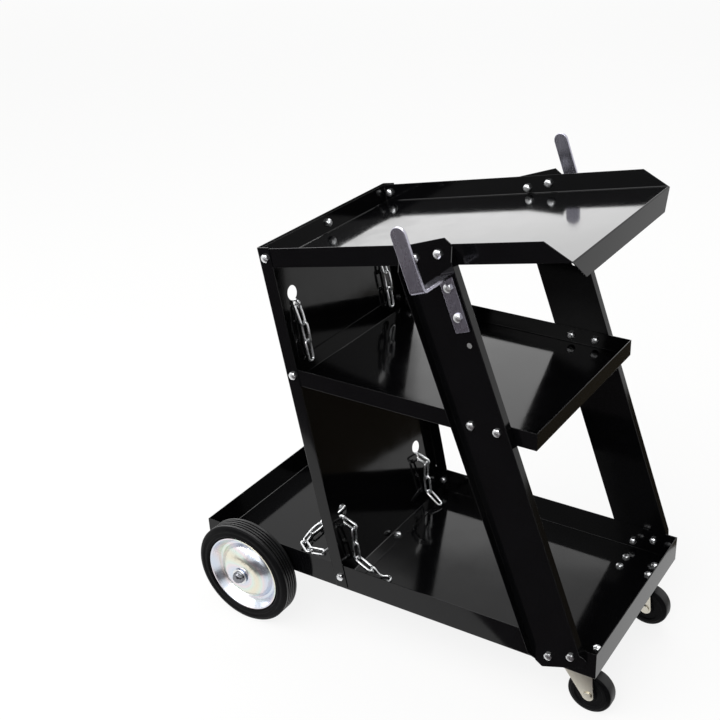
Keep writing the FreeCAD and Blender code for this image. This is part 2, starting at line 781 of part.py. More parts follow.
def caster(prefix, side):
    x, y = caster_x, caster_y * side
    pin = s.kingpin_diameter / 2
    plate = new_body(f"{prefix}_plate")
    face = new_sketch(plate, "XY_Plane")
    a, b = s.caster_plate_length / 2, s.caster_plate_width / 2
    outline(face, [(-a, -b), (a, -b), (a, b), (-a, b)])
    circle(face, 0, 0, pin + s.thread_play)
    for i in (-0.5, 0.5):
        for j in (-0.5, 0.5):
            circle(face, s.caster_holes_x * i, s.caster_holes_y * j, hole_radius)
    pad(plate, face, s.caster_plate_gauge, backwards=True)
    round_edges(plate, s.fork_tip * 0.6, lambda p: near(abs(p.x), a) and near(abs(p.y), b))
    place(plate, x, y, s.bottom_height)

    # Ball race, pressed to a shallow cone that hides the balls
    race = new_body(f"{prefix}_race")
    ring = new_sketch(race, "XZ_Plane")
    bore = pin + s.thread_play
    outline(ring, [(bore, 0), (s.race_radius, 0), (s.race_radius, -s.race_height * 0.6),
                   (s.race_radius - 4, -s.race_height), (bore, -s.race_height)])
    turn_upright(race, ring)
    place(race, x, y, s.bottom_height - s.caster_plate_gauge)

    # Rivet that holds the fork under the plate
    kingpin = new_body(f"{prefix}_kingpin")
    head_top = fork_top - s.fork_gauge - s.rest_gap
    rivet = new_sketch(kingpin, "XZ_Plane")
    outline(rivet, [(0, 0), (pin, 0), (pin, head_top - s.bottom_height),
                    (pin * 1.6, head_top - s.bottom_height),
                    (pin * 1.2, head_top - s.bottom_height - 3),
                    (0, head_top - s.bottom_height - 3)])
    turn_upright(kingpin, rivet)
    place(kingpin, x, y, s.bottom_height)

    fork = new_body(f"{prefix}_fork")
    axle_drop = fork_top - caster_radius
    yoke = s.race_radius
    inside = s.caster_tread / 2 + s.fork_clearance
    cheek = new_sketch(fork, "XZ_Plane")
    tip = s.fork_tip
    outline(cheek, [(-yoke, 0), (s.caster_trail + tip * 0.5, 0), (s.caster_trail + tip, -axle_drop),
                    (s.caster_trail - tip * 0.9, -axle_drop - tip * 0.4), (-yoke, -s.fork_gauge * 3)])
    pad(fork, cheek, (inside + s.fork_gauge) * 2, both_ways=True)
    boss = new_sketch(fork, "XZ_Plane")
    circle(boss, s.caster_trail, -axle_drop, tip)
    pad(fork, boss, (inside + s.fork_gauge) * 2, both_ways=True)
    gap = new_sketch(fork, "XZ_Plane")
    reach = s.caster_trail + tip * 2
    outline(gap, [(-reach, -s.fork_gauge), (reach, -s.fork_gauge), (reach, -s.caster_wheel),
                  (-reach, -s.caster_wheel)])
    pocket(fork, gap, inside * 2)
    holes_across(fork, [(s.caster_trail, -axle_drop)], s.caster_axle / 2 + s.thread_play)
    swivel = new_sketch(fork, "XY_Plane")
    circle(swivel, 0, 0, pin + s.running_play)
    pocket(fork, swivel, s.fork_gauge * 4)
    place(fork, x, y, fork_top)

    wheel = new_body(f"{prefix}_wheel")
    half = s.caster_tread / 2
    bore = s.caster_axle / 2 + s.running_play + s.bush_wall / 2
    hub = half + s.fork_clearance - s.rest_gap * 2
    side_wall = [(hub, bore), (hub, bore + 5), (half - 3, bore + 7), (half - 3, caster_radius - 8),
                 (half, caster_radius - 6), (half - 4, caster_radius)]
    revolve(wheel, side_wall + [(-y_, r) for y_, r in reversed(side_wall)])
    bush = new_body(f"{prefix}_bush")
    inner = s.caster_axle / 2 + s.running_play
    revolve(bush, [(-hub, inner), (hub, inner), (hub, bore - s.thread_play),
                   (-hub, bore - s.thread_play)])
    for body in (wheel, bush):
        place(body, x + s.caster_trail, y, caster_radius)

    # Axle rivet with a flat head outside each cheek
    axle = new_body(f"{prefix}_axle")
    shank, outside = s.caster_axle / 2, inside + s.fork_gauge + s.thread_play
    head = shank * 1.5
    revolve(axle, [(-outside - 2, 0), (-outside - 2, head), (-outside, head), (-outside, shank),
                   (outside, shank), (outside, head), (outside + 2, head), (outside + 2, 0)])
    place(axle, x + s.caster_trail, y, caster_radius)


def turn_upright(body, sketch):
    """Turn a profile of (radius, height) points about the body's Z axis."""
    feature = body.newObject("PartDesign::Revolution", f"{body.Name}_turned")
    feature.Profile = sketch
    feature.ReferenceAxis = (sketch, ["V_Axis"])
    feature.Angle = 360
    doc.recompute()


# The chains. A link lies with its length along X and its width along Y. Two links
# that turn on each other do so about the end wire of one of them, which is OWN_WIRE
# from that link's centre and NEXT_WIRE from the other's.
link_width = s.wire * s.link_width_by_wire
eye_radius = s.wire * s.eye_radius_by_wire
bend = (link_width.value - s.wire.value) / 2
straight = (s.link_inner.value + s.wire.value) / 2 - bend
OWN_WIRE = straight + bend
NEXT_WIRE = OWN_WIRE - s.wire.value - s.link_play.value
WIRE_SIDES = 8
BEND_STEPS = 4


def wire_ring(centre, side, over):
    """A flat-sided outline round a point of the wire."""
    radius = s.wire.value / 2 / math.cos(math.pi / WIRE_SIDES)
    ring = []
    for k in range(WIRE_SIDES + 1):
        angle = 2 * math.pi * (k + 0.5) / WIRE_SIDES
        ring.append(centre + side * (radius * math.cos(angle)) + over * (radius * math.sin(angle)))
    return Part.makePolygon(ring)


def link_shape():
    """Wire, drawn with flat sides, bent into a long ring."""
    turn = math.pi / BEND_STEPS
    corner = bend / math.cos(turn / 2)
    corners = []
    for end in (1, -1):
        for step in range(BEND_STEPS):
            angle = (step + 0.5) * turn - math.pi / 2
            corners.append(Vector(straight + corner * math.cos(angle), corner * math.sin(angle), 0) * end)
    middle = (corners[-1] + corners[0]) * 0.5
    loop = Part.makePolygon([middle] + corners + [middle])
    return loop.makePipeShell([wire_ring(middle, Vector(0, 1, 0), Vector(0, 0, 1))], True, False, 1)


def half_lengths(count, even_turns):
    """For each link, its centre's distance from the joint before it and the one after.

    even_turns says of a joint whether the even-numbered link turns on its own wire.
    """
    lengths = []
    for k in range(count):
        ends = [(k % 2 == 0) == even_turns(joint) for joint in (k, k + 1)]
        lengths.append([OWN_WIRE if own else NEXT_WIRE for own in ends])
    return lengths


def link_at(shape, joint, along, before, width):
    """A link past a joint, in a direction, with its width as near as can be to another."""
    along = Vector(along).normalize()
    across = (width - along * width.dot(along)).normalize()
    normal = along.cross(across)
    turn = FreeCAD.Matrix(along.x, across.x, normal.x, 0, along.y, across.y, normal.y, 0,
                          along.z, across.z, normal.z, 0, 0, 0, 0, 1)
    copy = shape.copy()
    copy.Placement = Placement(joint + along * before, Placement(turn).Rotation)
    return copy


def on_panel(out, up, y):
    """A point given by its distance in front of the panel's middle plane and along it."""
    lean = math.radians(s.panel_lean.value)
    out += s.sheet_gauge.value / 2
    return Vector(panel_foot_x.value + out * math.cos(lean) - up * math.sin(lean), y,
                  panel_foot.value + out * math.sin(lean) + up * math.cos(lean))


class Lock:
    """The link that hangs in a keyhole slot, its heavy end drooping.

    heavy is 1 where the front tail pulls it down and -1 where the rear loop does.
    The places where the next links hang are kept as (out, up) pairs.
    """

    def __init__(self, keyhole, heavy):
        droop = math.radians(s.lock_droop.value)
        c, d = math.cos(droop), math.sin(droop)
        wire, gauge = s.wire.value, s.sheet_gauge.value
        inside = s.link_inner.value / 2 - wire / 2 - s.link_play.value
        light_out = gauge / 2 + wire / 2 + s.lock_gap.value
        centre = inside * c - light_out
        slide = (bend * d - centre) / c
        slot_foot = keyhole.value - s.keyhole_drop.value
        up = (slot_foot + s.link_play.value + wire / 2 / c + gauge / 2 * d / c + bend * c + slide * d)
        rest = bend - wire - s.link_play.value
        shift = -inside + rest * d / c
        self.heavy = heavy
        self.centre = (centre * heavy, up)
        self.along = (c * heavy, -d)
        self.light = (-light_out * heavy, up - shift * d - rest * c)
        self.loaded = ((centre + straight * c) * heavy, up - straight * d - rest)

    def shape(self, link, y):
        out, up = self.centre
        middle = on_panel(out, up, y)
        along = on_panel(out + self.along[0], up + self.along[1], y) - middle
        return link_at(link, middle, along, 0, Vector(0, 1, 0).cross(along))


def tail_links(link, hook_on, y, lie):
    """Links that hang down the front of the panel from an (out, up) wire centre.

    A link that would end below the height lie slants forward to end there.
    """
    resting = s.sheet_gauge.value / 2 + link_width.value / 2 + s.rest_gap.value * 2
    lean = math.sin(math.radians(s.panel_lean.value))
    flat = Vector(0, 1, 0)
    out, up = hook_on
    start = on_panel(out, up, y)
    links = []
    for k, (before, after) in enumerate(half_lengths(TAIL_LINKS, lambda joint: True)):
        length = before + after
        next_out = max(resting, out - length * lean)
        up -= math.sqrt(length ** 2 - (next_out - out) ** 2)
        out = next_out
        end = on_panel(out, up, y)
        if end.z < lie:
            end = Vector(start.x + math.sqrt(length ** 2 - (start.z - lie) ** 2), y, lie)
        way = end - start
        links.append(link_at(link, start, way, before, flat if k % 2 == 0 else flat.cross(way)))
        start = end
    return links, end


def hanging_points(start, end, lengths):
    """Joints of a chain that hangs free between two points of equal height."""
    span = (end - start).y
    middle = (len(lengths) - 1) / 2
    low, high = 0.0, 50.0
    for _ in range(60):
        sag = (low + high) / 2
        angles = [math.atan(sag * (k - middle)) for k in range(len(lengths))]
        reach = sum(length * math.cos(angle) for length, angle in zip(lengths, angles))
        low, high = (sag, high) if reach > span else (low, sag)
    points = [start]
    for length, angle in zip(lengths, angles):
        points.append(points[-1] + Vector(0, math.cos(angle), math.sin(angle)) * length)
    return points


def walk(route, lengths):
    """Joints at given distances from each other along a route of straight runs."""
    points = [route[0]]
    run = 0
    for length in lengths:
        start, reach = points[-1], None
        while reach is None:
            a, way = route[run], route[run + 1] - route[run]
            offset = a - start
            half, rest = offset.dot(way), offset.dot(offset) - length ** 2
            root = half ** 2 - way.dot(way) * rest
            t = (-half + math.sqrt(root)) / way.dot(way) if root >= 0 else 2
            if t <= 1:
                reach = a + way * t
            else:
                run += 1
        points.append(reach)
    return points


def floor_loop_points(start, lengths):
    """Joints of the lower loop: down behind the panel, back along the floor, across.

    The run across lies as far back as makes the two halves meet on the centre line.
    """
    lie = floor_top.value + link_width.value / 2 + s.rest_gap.value * 2
    half_count = len(lengths) // 2

    def route(back):
        x, y, z = start
        return [
            start, Vector(x - 6, y - 1, z - 30), Vector(x - 20, y - 2, lie + 16),
            Vector(x - 42, y - 3, lie), Vector(back + 20, y - 4, lie), Vector(back + 6, y + 6, lie),
            Vector(back, y + 28, lie), Vector(back, -y, lie),
        ]

    rearmost, foremost = start.x - 160, start.x - 64
    for _ in range(50):
        back = (rearmost + foremost) / 2
        half = walk(route(back), lengths[:half_count])
        if half[-1].y < -lengths[half_count] / 2:
            rearmost = back
        else:
            foremost = back
    return half + [Vector(p.x, -p.y, p.z) for p in reversed(half)]


def loop_links(link, points, lengths, across):
    """Links along a row of joints, turned in and out of the plane by turns."""
    links = []
    for k, (start, end) in enumerate(zip(points, points[1:])):
        way = end - start
        flat = across(way)
        links.append(link_at(link, start, way, lengths[k][0], flat if k % 2 == 0 else flat.cross(way)))
    return links


def round_wire(points):
    """Wire along an open row of points."""
    way = (points[1] - points[0]).normalize()
    side = way.cross(Vector(0, 1, 0)).normalize()
    ring = wire_ring(points[0], side, way.cross(side))
    return Part.makePolygon(points).makePipeShell([ring], True, False, 1)


def chain_hook(last_wire):
    """An open wire hook lying on the floor, its eye round the last link's end wire."""
    wire, eye, crook = s.wire.value, eye_radius.value, s.crook_radius.value
    centre = last_wire + Vector(0.5, 0, 0.8)
    points = []
    for step in range(8):
        angle = math.radians(-50 - 40 * step)
        points.append(centre + Vector(math.cos(angle), 0, math.sin(angle)) * eye)
    heading = math.radians(s.crook_heading.value)
    ahead = Vector(math.cos(heading), math.sin(heading), 0)
    lie = floor_top.value + wire / 2 + s.rest_gap.value
    toe = Vector(points[-1].x + 1.4 * eye, centre.y, lie)
    bend_start = toe + ahead * s.crook_shank.value
    points += [toe, bend_start]
    bend_centre = bend_start + Vector(ahead.y, -ahead.x, 0) * crook
    for step in range(1, 7):
        angle = heading + math.pi / 2 - math.radians(33 * step)
        points.append(bend_centre + Vector(math.cos(angle), math.sin(angle), 0) * crook)
    return round_wire(points)


def chains():
    link = link_shape()
    y = s.keyhole_spread.value / 2
    groups = {"chain_lock_links": []}
    upper, lower = Lock(s.keyhole_high, -1), Lock(s.keyhole_low, 1)
    for lock in (upper, lower):
        groups["chain_lock_links"] += [lock.shape(link, y * side) for side in SIDES.values()]
    # The lower tails end on the foot flange, the right one with the hook's eye below it
    foot_rest = (floor_top + s.sheet_gauge + s.wire / 2 + s.rest_gap * 2).value
    eye_rest = foot_rest + eye_radius.value
    for level, front in (("upper", upper.light), ("lower", lower.loaded)):
        for name, side in SIDES.items():
            lie = eye_rest if side == RIGHT else foot_rest
            links, end = tail_links(link, front, y * side, lie)
            groups[f"{level}_{name}_chain_tail"] = links
            if level == "lower" and side == RIGHT:
                groups["chain_hook"] = [chain_hook(end)]
    drop = Vector(0, 0, -s.wire.value - s.link_play.value)
    start, end = [on_panel(*upper.loaded, y * side) + drop for side in (RIGHT, LEFT)]
    lengths = half_lengths(UPPER_LOOP_LINKS, lambda joint: False)
    hanging = hanging_points(start, end, [sum(pair) for pair in lengths])
    groups["upper_chain_loop"] = loop_links(link, hanging, lengths,
                                            lambda way: Vector(1, 0, 0).cross(way))
    start = on_panel(*lower.light, -y)
    # Near its ends the lower loop turns on level wires, and on the floor on upright ones
    turns_level = LOWER_LOOP_DROP_JOINTS
    lengths = half_lengths(LOWER_LOOP_LINKS, lambda joint:
                           min(joint, LOWER_LOOP_LINKS - joint) < turns_level)
    lying = floor_loop_points(start, [sum(pair) for pair in lengths])
    groups["lower_chain_loop"] = loop_links(link, lying, lengths,
                                            lambda way: Vector(0, 0, 1).cross(way))
    for name, shapes in groups.items():
        item = doc.addObject("Part::Feature", name)
        item.Label = name
        item.Shape = Part.makeCompound(shapes)
        parts[name] = item


def build():
    bottom_tray()
    middle_tray()
    top_tray()
    back_panel()
    for name, side in SIDES.items():
        front_leg(f"{name}_front_leg", side)
        cable_hook(f"{name}_cable_hook", side)
        axle_bracket(f"{name}_axle_bracket", side)
        axle_cap(f"{name}_axle_cap", side)
        rear_wheel(f"{name}_wheel", side)
        caster(f"{name}_caster", side)
    fasteners()
    rear_axle()
    axle_small_parts()
    chains()


def check_and_write():
    """Refuse a failed feature or a bad solid, then write one file for each piece."""
    doc.recompute()
    for item in doc.Objects:
        if "Invalid" in item.State or "Error" in item.State:
            raise RuntimeError(f"{item.Label} failed: {item.State}")
    for name, item in parts.items():
        if item.Shape.isNull() or not item.Shape.isValid() or not item.Shape.Solids:
            raise RuntimeError(f"{name} has no valid solid")
    os.makedirs("parts", exist_ok=True)
    for name, item in parts.items():
        item.Shape.exportStep(f"parts/{name}.step")


build()
check_and_write()
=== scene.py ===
import json
import math

import bmesh
import bpy
import numpy as np
from bpy.props import FloatProperty, FloatVectorProperty, IntProperty, PointerProperty
from mathutils import Matrix, Vector

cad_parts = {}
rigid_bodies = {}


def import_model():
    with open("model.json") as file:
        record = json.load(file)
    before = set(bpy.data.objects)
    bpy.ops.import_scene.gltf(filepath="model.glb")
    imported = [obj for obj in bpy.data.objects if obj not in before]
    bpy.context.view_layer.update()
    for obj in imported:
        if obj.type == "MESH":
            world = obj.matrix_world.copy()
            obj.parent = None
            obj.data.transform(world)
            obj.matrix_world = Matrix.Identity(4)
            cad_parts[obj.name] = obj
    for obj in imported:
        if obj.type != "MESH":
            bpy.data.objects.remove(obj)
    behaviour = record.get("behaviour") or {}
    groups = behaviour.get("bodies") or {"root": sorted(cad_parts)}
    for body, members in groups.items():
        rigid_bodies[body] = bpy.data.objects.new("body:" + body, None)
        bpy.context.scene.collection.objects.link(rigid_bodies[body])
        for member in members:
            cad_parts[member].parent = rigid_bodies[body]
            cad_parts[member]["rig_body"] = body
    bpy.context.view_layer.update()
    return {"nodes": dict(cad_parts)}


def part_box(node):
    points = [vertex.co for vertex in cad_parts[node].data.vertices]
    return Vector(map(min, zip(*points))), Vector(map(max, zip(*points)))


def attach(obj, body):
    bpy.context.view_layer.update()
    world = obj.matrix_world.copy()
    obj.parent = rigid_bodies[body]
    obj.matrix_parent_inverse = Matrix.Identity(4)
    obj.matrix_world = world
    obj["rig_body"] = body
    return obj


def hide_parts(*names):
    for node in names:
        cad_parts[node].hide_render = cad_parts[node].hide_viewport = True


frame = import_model()

bl_info = {
    "name": "Gas cylinder cart",
    "version": (1, 0, 0),
    "blender": (4, 5, 0),
    "location": "View3D > Sidebar > Cart",
    "description": "Finishes the pieces of a gas cylinder cart and sets up its studio",
    "category": "Object",
}

MM = 0.001
SAME_POINT = 0.001 * MM  # Corners of the CAD triangles that are closer than this are one
NEAR = 0.01 * MM  # Points that are closer than this to a place count as there
SIDES = ("right", "left")


def hex_colour(text):
    """A colour as it is written for a screen, in the linear numbers that a shader takes."""
    levels = [int(text[i:i + 2], 16) / 255 for i in (1, 3, 5)]
    return [v / 12.92 if v <= 0.04045 else ((v + 0.055) / 1.055) ** 2.4 for v in levels]


def colour_setting(name, text, description):
    """A colour in the sidebar, given as it is written for a screen."""
    return FloatVectorProperty(name=name, description=description, subtype="COLOR",
                               size=3, min=0, max=1, default=hex_colour(text))


def length_setting(name, millimetres, description):
    """A length in the sidebar, given in millimetres."""
    return FloatProperty(name=name, description=description, subtype="DISTANCE",
                         unit="LENGTH", min=0, default=millimetres * MM)


# Settings


class CartFinish(bpy.types.PropertyGroup):
    """Colours of the cart's finishes."""

    enamel: colour_setting("Enamel", "#060607", "Gloss black enamel of the sheet pieces")
    hook_zinc: colour_setting("Hook zinc", "#BDBAC4", "Dull zinc plate of the cable hooks")
    bright_zinc: colour_setting("Bright zinc", "#ECECEA", "Zinc plate of bolts, chain and rims")
    # The caps' dark grey is painted shade: a dark room's reflection painted into the zinc's colour
    cap_zinc: colour_setting("Cap zinc", "#86868A", "Polished plate of the axle caps")
    warm_zinc: colour_setting("Warm zinc", "#D8D2C2", "Yellowish zinc plate of the casters")
    rubber: colour_setting("Rubber", "#070708", "Black rubber of the tyres and caster wheels")


class CartForm(bpy.types.PropertyGroup):
    """Small sizes that the plain solids leave out."""

    sheet_edge: length_setting("Sheet edge", 0.3, "Rounding of the cut sheet edges under the enamel")
    inner_fold: length_setting("Inner fold", 1.2, "Rounding of the enamelled corner inside a fold")
    bar_edge: length_setting("Bar edge", 1.0, "Rounding of the rolled flat bar's edges")
    pressed_edge: length_setting("Pressed edge", 0.4, "Rounding of pressed and turned edges")
    groove_width: length_setting("Groove width", 2.2, "Width of each groove in the tyre tread")
    groove_depth: length_setting("Groove depth", 2.0, "Depth of each groove in the tyre tread")
    groove_count: IntProperty(name="Grooves", description="Grooves round the tyre tread",
                              min=0, max=8, default=4)
    thread_pitch: length_setting("Thread pitch", 1.0, "Pitch of the bolt thread")


class CartStage(bpy.types.PropertyGroup):
    """The camera and the studio."""

    lens: FloatProperty(name="Lens", description="Focal length on a 36 mm wide image",
                        subtype="DISTANCE_CAMERA", unit="CAMERA", min=1, default=57.94)
    fill: FloatProperty(name="Fill", description="Light from all round", min=0, default=0.5)
    overhead: FloatProperty(name="Overhead box", description="Power of the soft box above",
                            subtype="POWER", unit="POWER", min=0, default=40)
    front: FloatProperty(name="Front box", description="Power of the soft box above the camera",
                         subtype="POWER", unit="POWER", min=0, default=40)
    backdrop: FloatProperty(name="Backdrop box", description="Power of the far soft box",
                            subtype="POWER", unit="POWER", min=0, default=112)
    high: FloatProperty(name="High box", description="Power of the dimmer box above the far one",
                        subtype="POWER", unit="POWER", min=0, default=19)
    rear: FloatProperty(name="Rear box", description="Power of the soft box above and behind",
                        subtype="POWER", unit="POWER", min=0, default=30)


# Modelling by hand, step by step


def clear_selection():
    """Object mode with nothing selected."""
    if bpy.context.object and bpy.context.object.mode != "OBJECT":
        bpy.ops.object.mode_set(mode="OBJECT")
    bpy.ops.object.select_all(action="DESELECT")


def make_active(piece):
    """Object mode with only this piece selected."""
    clear_selection()
    piece.select_set(True)
    bpy.context.view_layer.objects.active = piece


def edit_all(piece):
    """Edit mode with the whole mesh selected."""
    make_active(piece)
    bpy.ops.object.mode_set(mode="EDIT")
    bpy.ops.mesh.select_mode(type="VERT")
    bpy.ops.mesh.select_all(action="SELECT")


def select_where(piece, kind, test):
    """In edit mode, select only the vertices, edges or faces that pass the test."""
    bpy.ops.mesh.select_mode(type={"verts": "VERT", "edges": "EDGE", "faces": "FACE"}[kind])
    bpy.ops.mesh.select_all(action="DESELECT")
    shape = bmesh.from_edit_mesh(piece.data)
    for item in getattr(shape, kind):
        if test(item):
            item.select_set(True)
    bmesh.update_edit_mesh(piece.data)


def finish_shading(piece, angle=35):
    """Smooth the round faces and keep the flat ones flat."""
    make_active(piece)
    bpy.ops.object.shade_smooth_by_angle(angle=math.radians(angle))
    bpy.ops.object.modifier_add(type="WEIGHTED_NORMAL")
    piece.modifiers[-1].keep_sharp = True
    bpy.ops.object.modifier_apply(modifier=piece.modifiers[-1].name)


def round_sharp_edges(piece, width, segments=2, sharper_than=30):
    """Round over every edge that turns by more than the given angle."""
    edit_all(piece)
    bpy.ops.mesh.select_mode(type="EDGE")
    bpy.ops.mesh.select_all(action="DESELECT")
    bpy.ops.mesh.edges_select_sharp(sharpness=math.radians(sharper_than))
    bpy.ops.mesh.bevel(offset=width, segments=segments, affect="EDGES", clamp_overlap=False)
    bpy.ops.object.mode_set(mode="OBJECT")


def copy_of(node, name):
    """A copy of a CAD piece with its triangles joined up into clean faces."""
    piece = bpy.data.objects.new(name, frame["nodes"][node].data.copy())
    bpy.context.scene.collection.objects.link(piece)
    piece.data.materials.clear()
    edit_all(piece)
    bpy.ops.mesh.remove_doubles(threshold=SAME_POINT)
    bpy.ops.mesh.dissolve_limited(angle_limit=math.radians(0.5))
    bpy.ops.object.mode_set(mode="OBJECT")
    return piece


def dress(piece, material, nodes):
    """Give a finished piece its material and put it in the place of its CAD nodes."""
    piece.data.materials.clear()
    piece.data.materials.append(material)
    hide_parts(*nodes)
    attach(piece, frame["nodes"][nodes[0]]["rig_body"])


def softened(node, width, material, segments=2):
    """A CAD piece with its edges rounded over."""
    piece = copy_of(node, f"{node}_finished")
    round_sharp_edges(piece, width, segments)
    finish_shading(piece)
    dress(piece, material, [node])


def turned(name, profile, centre, axis, rounding, steps=96):
    """A profile of (along, out) points spun about an axis through the centre."""
    places = [Vector((0, along, out)) if axis == "Y" else Vector((out, 0, along))
              for along, out in profile]
    clear_selection()
    bpy.ops.mesh.primitive_plane_add(size=MM, location=centre)
    piece = bpy.context.object
    piece.name = name
    edit_all(piece)
    bpy.ops.mesh.merge(type="CENTER")
    bpy.ops.transform.translate(value=places[0])
    for here, there in zip(places, places[1:]):
        bpy.ops.mesh.extrude_region_move(TRANSFORM_OT_translate={"value": there - here})
    if min(out for along, out in profile) > 0:
        first, last = places[0], places[-1]
        select_where(piece, "verts", lambda v: min((v.co - first).length,
                                                   (v.co - last).length) < NEAR)
        bpy.ops.mesh.edge_face_add()
    bpy.ops.mesh.select_all(action="SELECT")
    bpy.ops.mesh.spin(steps=steps, angle=math.tau, center=centre,
                      axis=(0, 1, 0) if axis == "Y" else (0, 0, 1))
    bpy.ops.mesh.select_all(action="SELECT")
    bpy.ops.mesh.remove_doubles(threshold=NEAR)
    bpy.ops.mesh.normals_make_consistent(inside=False)
    bpy.ops.object.mode_set(mode="OBJECT")
    apply_place(piece)
    round_sharp_edges(piece, rounding, sharper_than=20)
    finish_shading(piece)
    return piece


def apply_place(piece):
    """Put a piece's place, turn and scale into its mesh."""
    make_active(piece)
    bpy.ops.object.transform_apply(location=True, rotation=True, scale=True)


def solids_of(node):
    """Each separate solid of a CAD piece, as the (normal, area) of its faces and its points."""
    shape = bmesh.new()
    shape.from_mesh(frame["nodes"][node].data)
    bmesh.ops.remove_doubles(shape, verts=shape.verts, dist=SAME_POINT)
    # Dictionaries keep their order from run to run, which sets of faces do not
    waiting = dict.fromkeys(shape.faces)
    solids = []
    while waiting:
        reached = [waiting.popitem()[0]]
        for face in reached:
            for near in dict.fromkeys(n for edge in face.edges for n in edge.link_faces):
                if near in waiting:
                    del waiting[near]
                    reached.append(near)
        faces = [(f.normal.copy(), f.calc_area()) for f in reached]
        points = np.array([v.co for v in dict.fromkeys(v for f in reached for v in f.verts)])
        solids.append((faces, points))
    shape.free()
    return solids


def copies_at(master, name, places):
    """Copies of one modelled piece, each with its own mesh, joined into one object."""
    copies = []
    for place in places:
        copy = bpy.data.objects.new(name, master.data.copy())
        bpy.context.scene.collection.objects.link(copy)
        copy.data.transform(place)
        copies.append(copy)
    clear_selection()
    for copy in copies:
        copy.select_set(True)
    bpy.context.view_layer.objects.active = copies[0]
    bpy.ops.object.join()
    bpy.data.objects.remove(master)
    return copies[0]


# Materials


def connect(tree, item, inputs):
    """Give each input of a node a value or another node's output."""
    for key, value in inputs.items():
        if isinstance(value, bpy.types.NodeSocket):
            tree.links.new(value, item.inputs[key])
        else:
            item.inputs[key].default_value = value


def add_node(tree, kind, inputs, **settings):
    """Add a node, set it and connect its inputs."""
    item = tree.nodes.new(kind)
    for key, value in settings.items():
        setattr(item, key, value)
    connect(tree, item, inputs)
    return item


def new_material(name):
    """A material, its node tree and its main shader."""
    material = bpy.data.materials.new(name)
    material.use_nodes = True
    return material, material.node_tree, material.node_tree.nodes["Principled BSDF"]


def tint(colour, factor):
    """A colour made darker or lighter, with a full alpha."""
    return [min(1, c * factor) for c in colour] + [1]


def mottle(tree, vector, size, dark, light, detail=3):
    """A soft blotchy mix of two numbers or two colours, with blotches of the given size."""
    noise = add_node(tree, "ShaderNodeTexNoise",
                     {"Vector": vector, "Scale": 1 / size, "Detail": detail, "Roughness": 0.55})
    blotch = noise.outputs["Fac"]
    if isinstance(dark, list):
        return add_node(tree, "ShaderNodeMixRGB",
                        {"Fac": blotch, "Color1": dark, "Color2": light}).outputs["Color"]
    return add_node(tree, "ShaderNodeMapRange",
                    {"Value": blotch, "To Min": dark, "To Max": light}).outputs["Result"]


def gloss_black_enamel(colour):
    """Stoved enamel: near-mirror gloss, a faint orange peel and a slight wave in the sheet."""
    material, tree, shader = new_material("gloss_black_enamel")
    place = add_node(tree, "ShaderNodeTexCoord", {}).outputs["Object"]
    # Thin sheet bows over about a hand's width, and the paint's peel is a few millimetres wide
    wave = add_node(tree, "ShaderNodeTexNoise",
                    {"Vector": place, "Scale": 1 / (120 * MM), "Detail": 1})
    peel = add_node(tree, "ShaderNodeTexNoise",
                    {"Vector": place, "Scale": 1 / (3.5 * MM), "Detail": 2})
    bowed = add_node(tree, "ShaderNodeBump",
                     {"Height": wave.outputs["Fac"], "Distance": 0.4 * MM, "Strength": 1})
    peeled = add_node(tree, "ShaderNodeBump",
                      {"Height": peel.outputs["Fac"], "Distance": 0.006 * MM, "Strength": 1,
                       "Normal": bowed.outputs["Normal"]})
    connect(tree, shader, {
        "Base Color": mottle(tree, place, 50 * MM, tint(colour, 0.7), tint(colour, 1.5)),
        "Roughness": mottle(tree, place, 30 * MM, 0.04, 0.13),
        "Normal": peeled.outputs["Normal"],
        "IOR": 1.5,
        "Specular IOR Level": 0.25,
    })
    return material


COOL_CAST = hex_colour("#ECEFF6")  # What the bluish blotches of zinc plate keep of its colour


def zinc_plate(name, colour, roughness, blotch, streak=(1, 1, 1), relief=0):
    """Plated steel: a bright metal with soft blotches, faint colour and fine rolling marks."""
    material, tree, shader = new_material(name)
    place = add_node(tree, "ShaderNodeTexCoord", {}).outputs["Object"]
    drawn = add_node(tree, "ShaderNodeMapping", {"Vector": place, "Scale": streak}).outputs["Vector"]
    # Forging dents, and a plating grain that is drawn coarser than it is, so that it shows
    dents = add_node(tree, "ShaderNodeTexNoise",
                     {"Vector": place, "Scale": 1 / (3 * MM), "Detail": 1})
    grain = add_node(tree, "ShaderNodeTexNoise",
                     {"Vector": drawn, "Scale": 1 / (0.8 * MM), "Detail": 3})
    dented = add_node(tree, "ShaderNodeBump",
                      {"Height": dents.outputs["Fac"], "Distance": relief, "Strength": 1})
    grained = add_node(tree, "ShaderNodeBump",
                       {"Height": grain.outputs["Fac"], "Distance": 0.02 * MM, "Strength": 1,
                        "Normal": dented.outputs["Normal"]})
    cool = [c * cast for c, cast in zip(colour, COOL_CAST)] + [1]
    connect(tree, shader, {
        "Base Color": mottle(tree, drawn, blotch, cool, tint(colour, 1.06), 4),
        "Roughness": mottle(tree, drawn, blotch * 0.4, roughness * 0.75, roughness * 1.3, 4),
        "Normal": grained.outputs["Normal"],
        "Metallic": 1,
    })
    return material


WAVE = math.tau / 20  # A wave texture of scale 1 repeats at this distance
RAINBOW = ((0.0, "#E7F0FF"), (0.35, "#FFF3F8"), (0.6, "#F1FFF9"), (1.0, "#FFF9E7"))


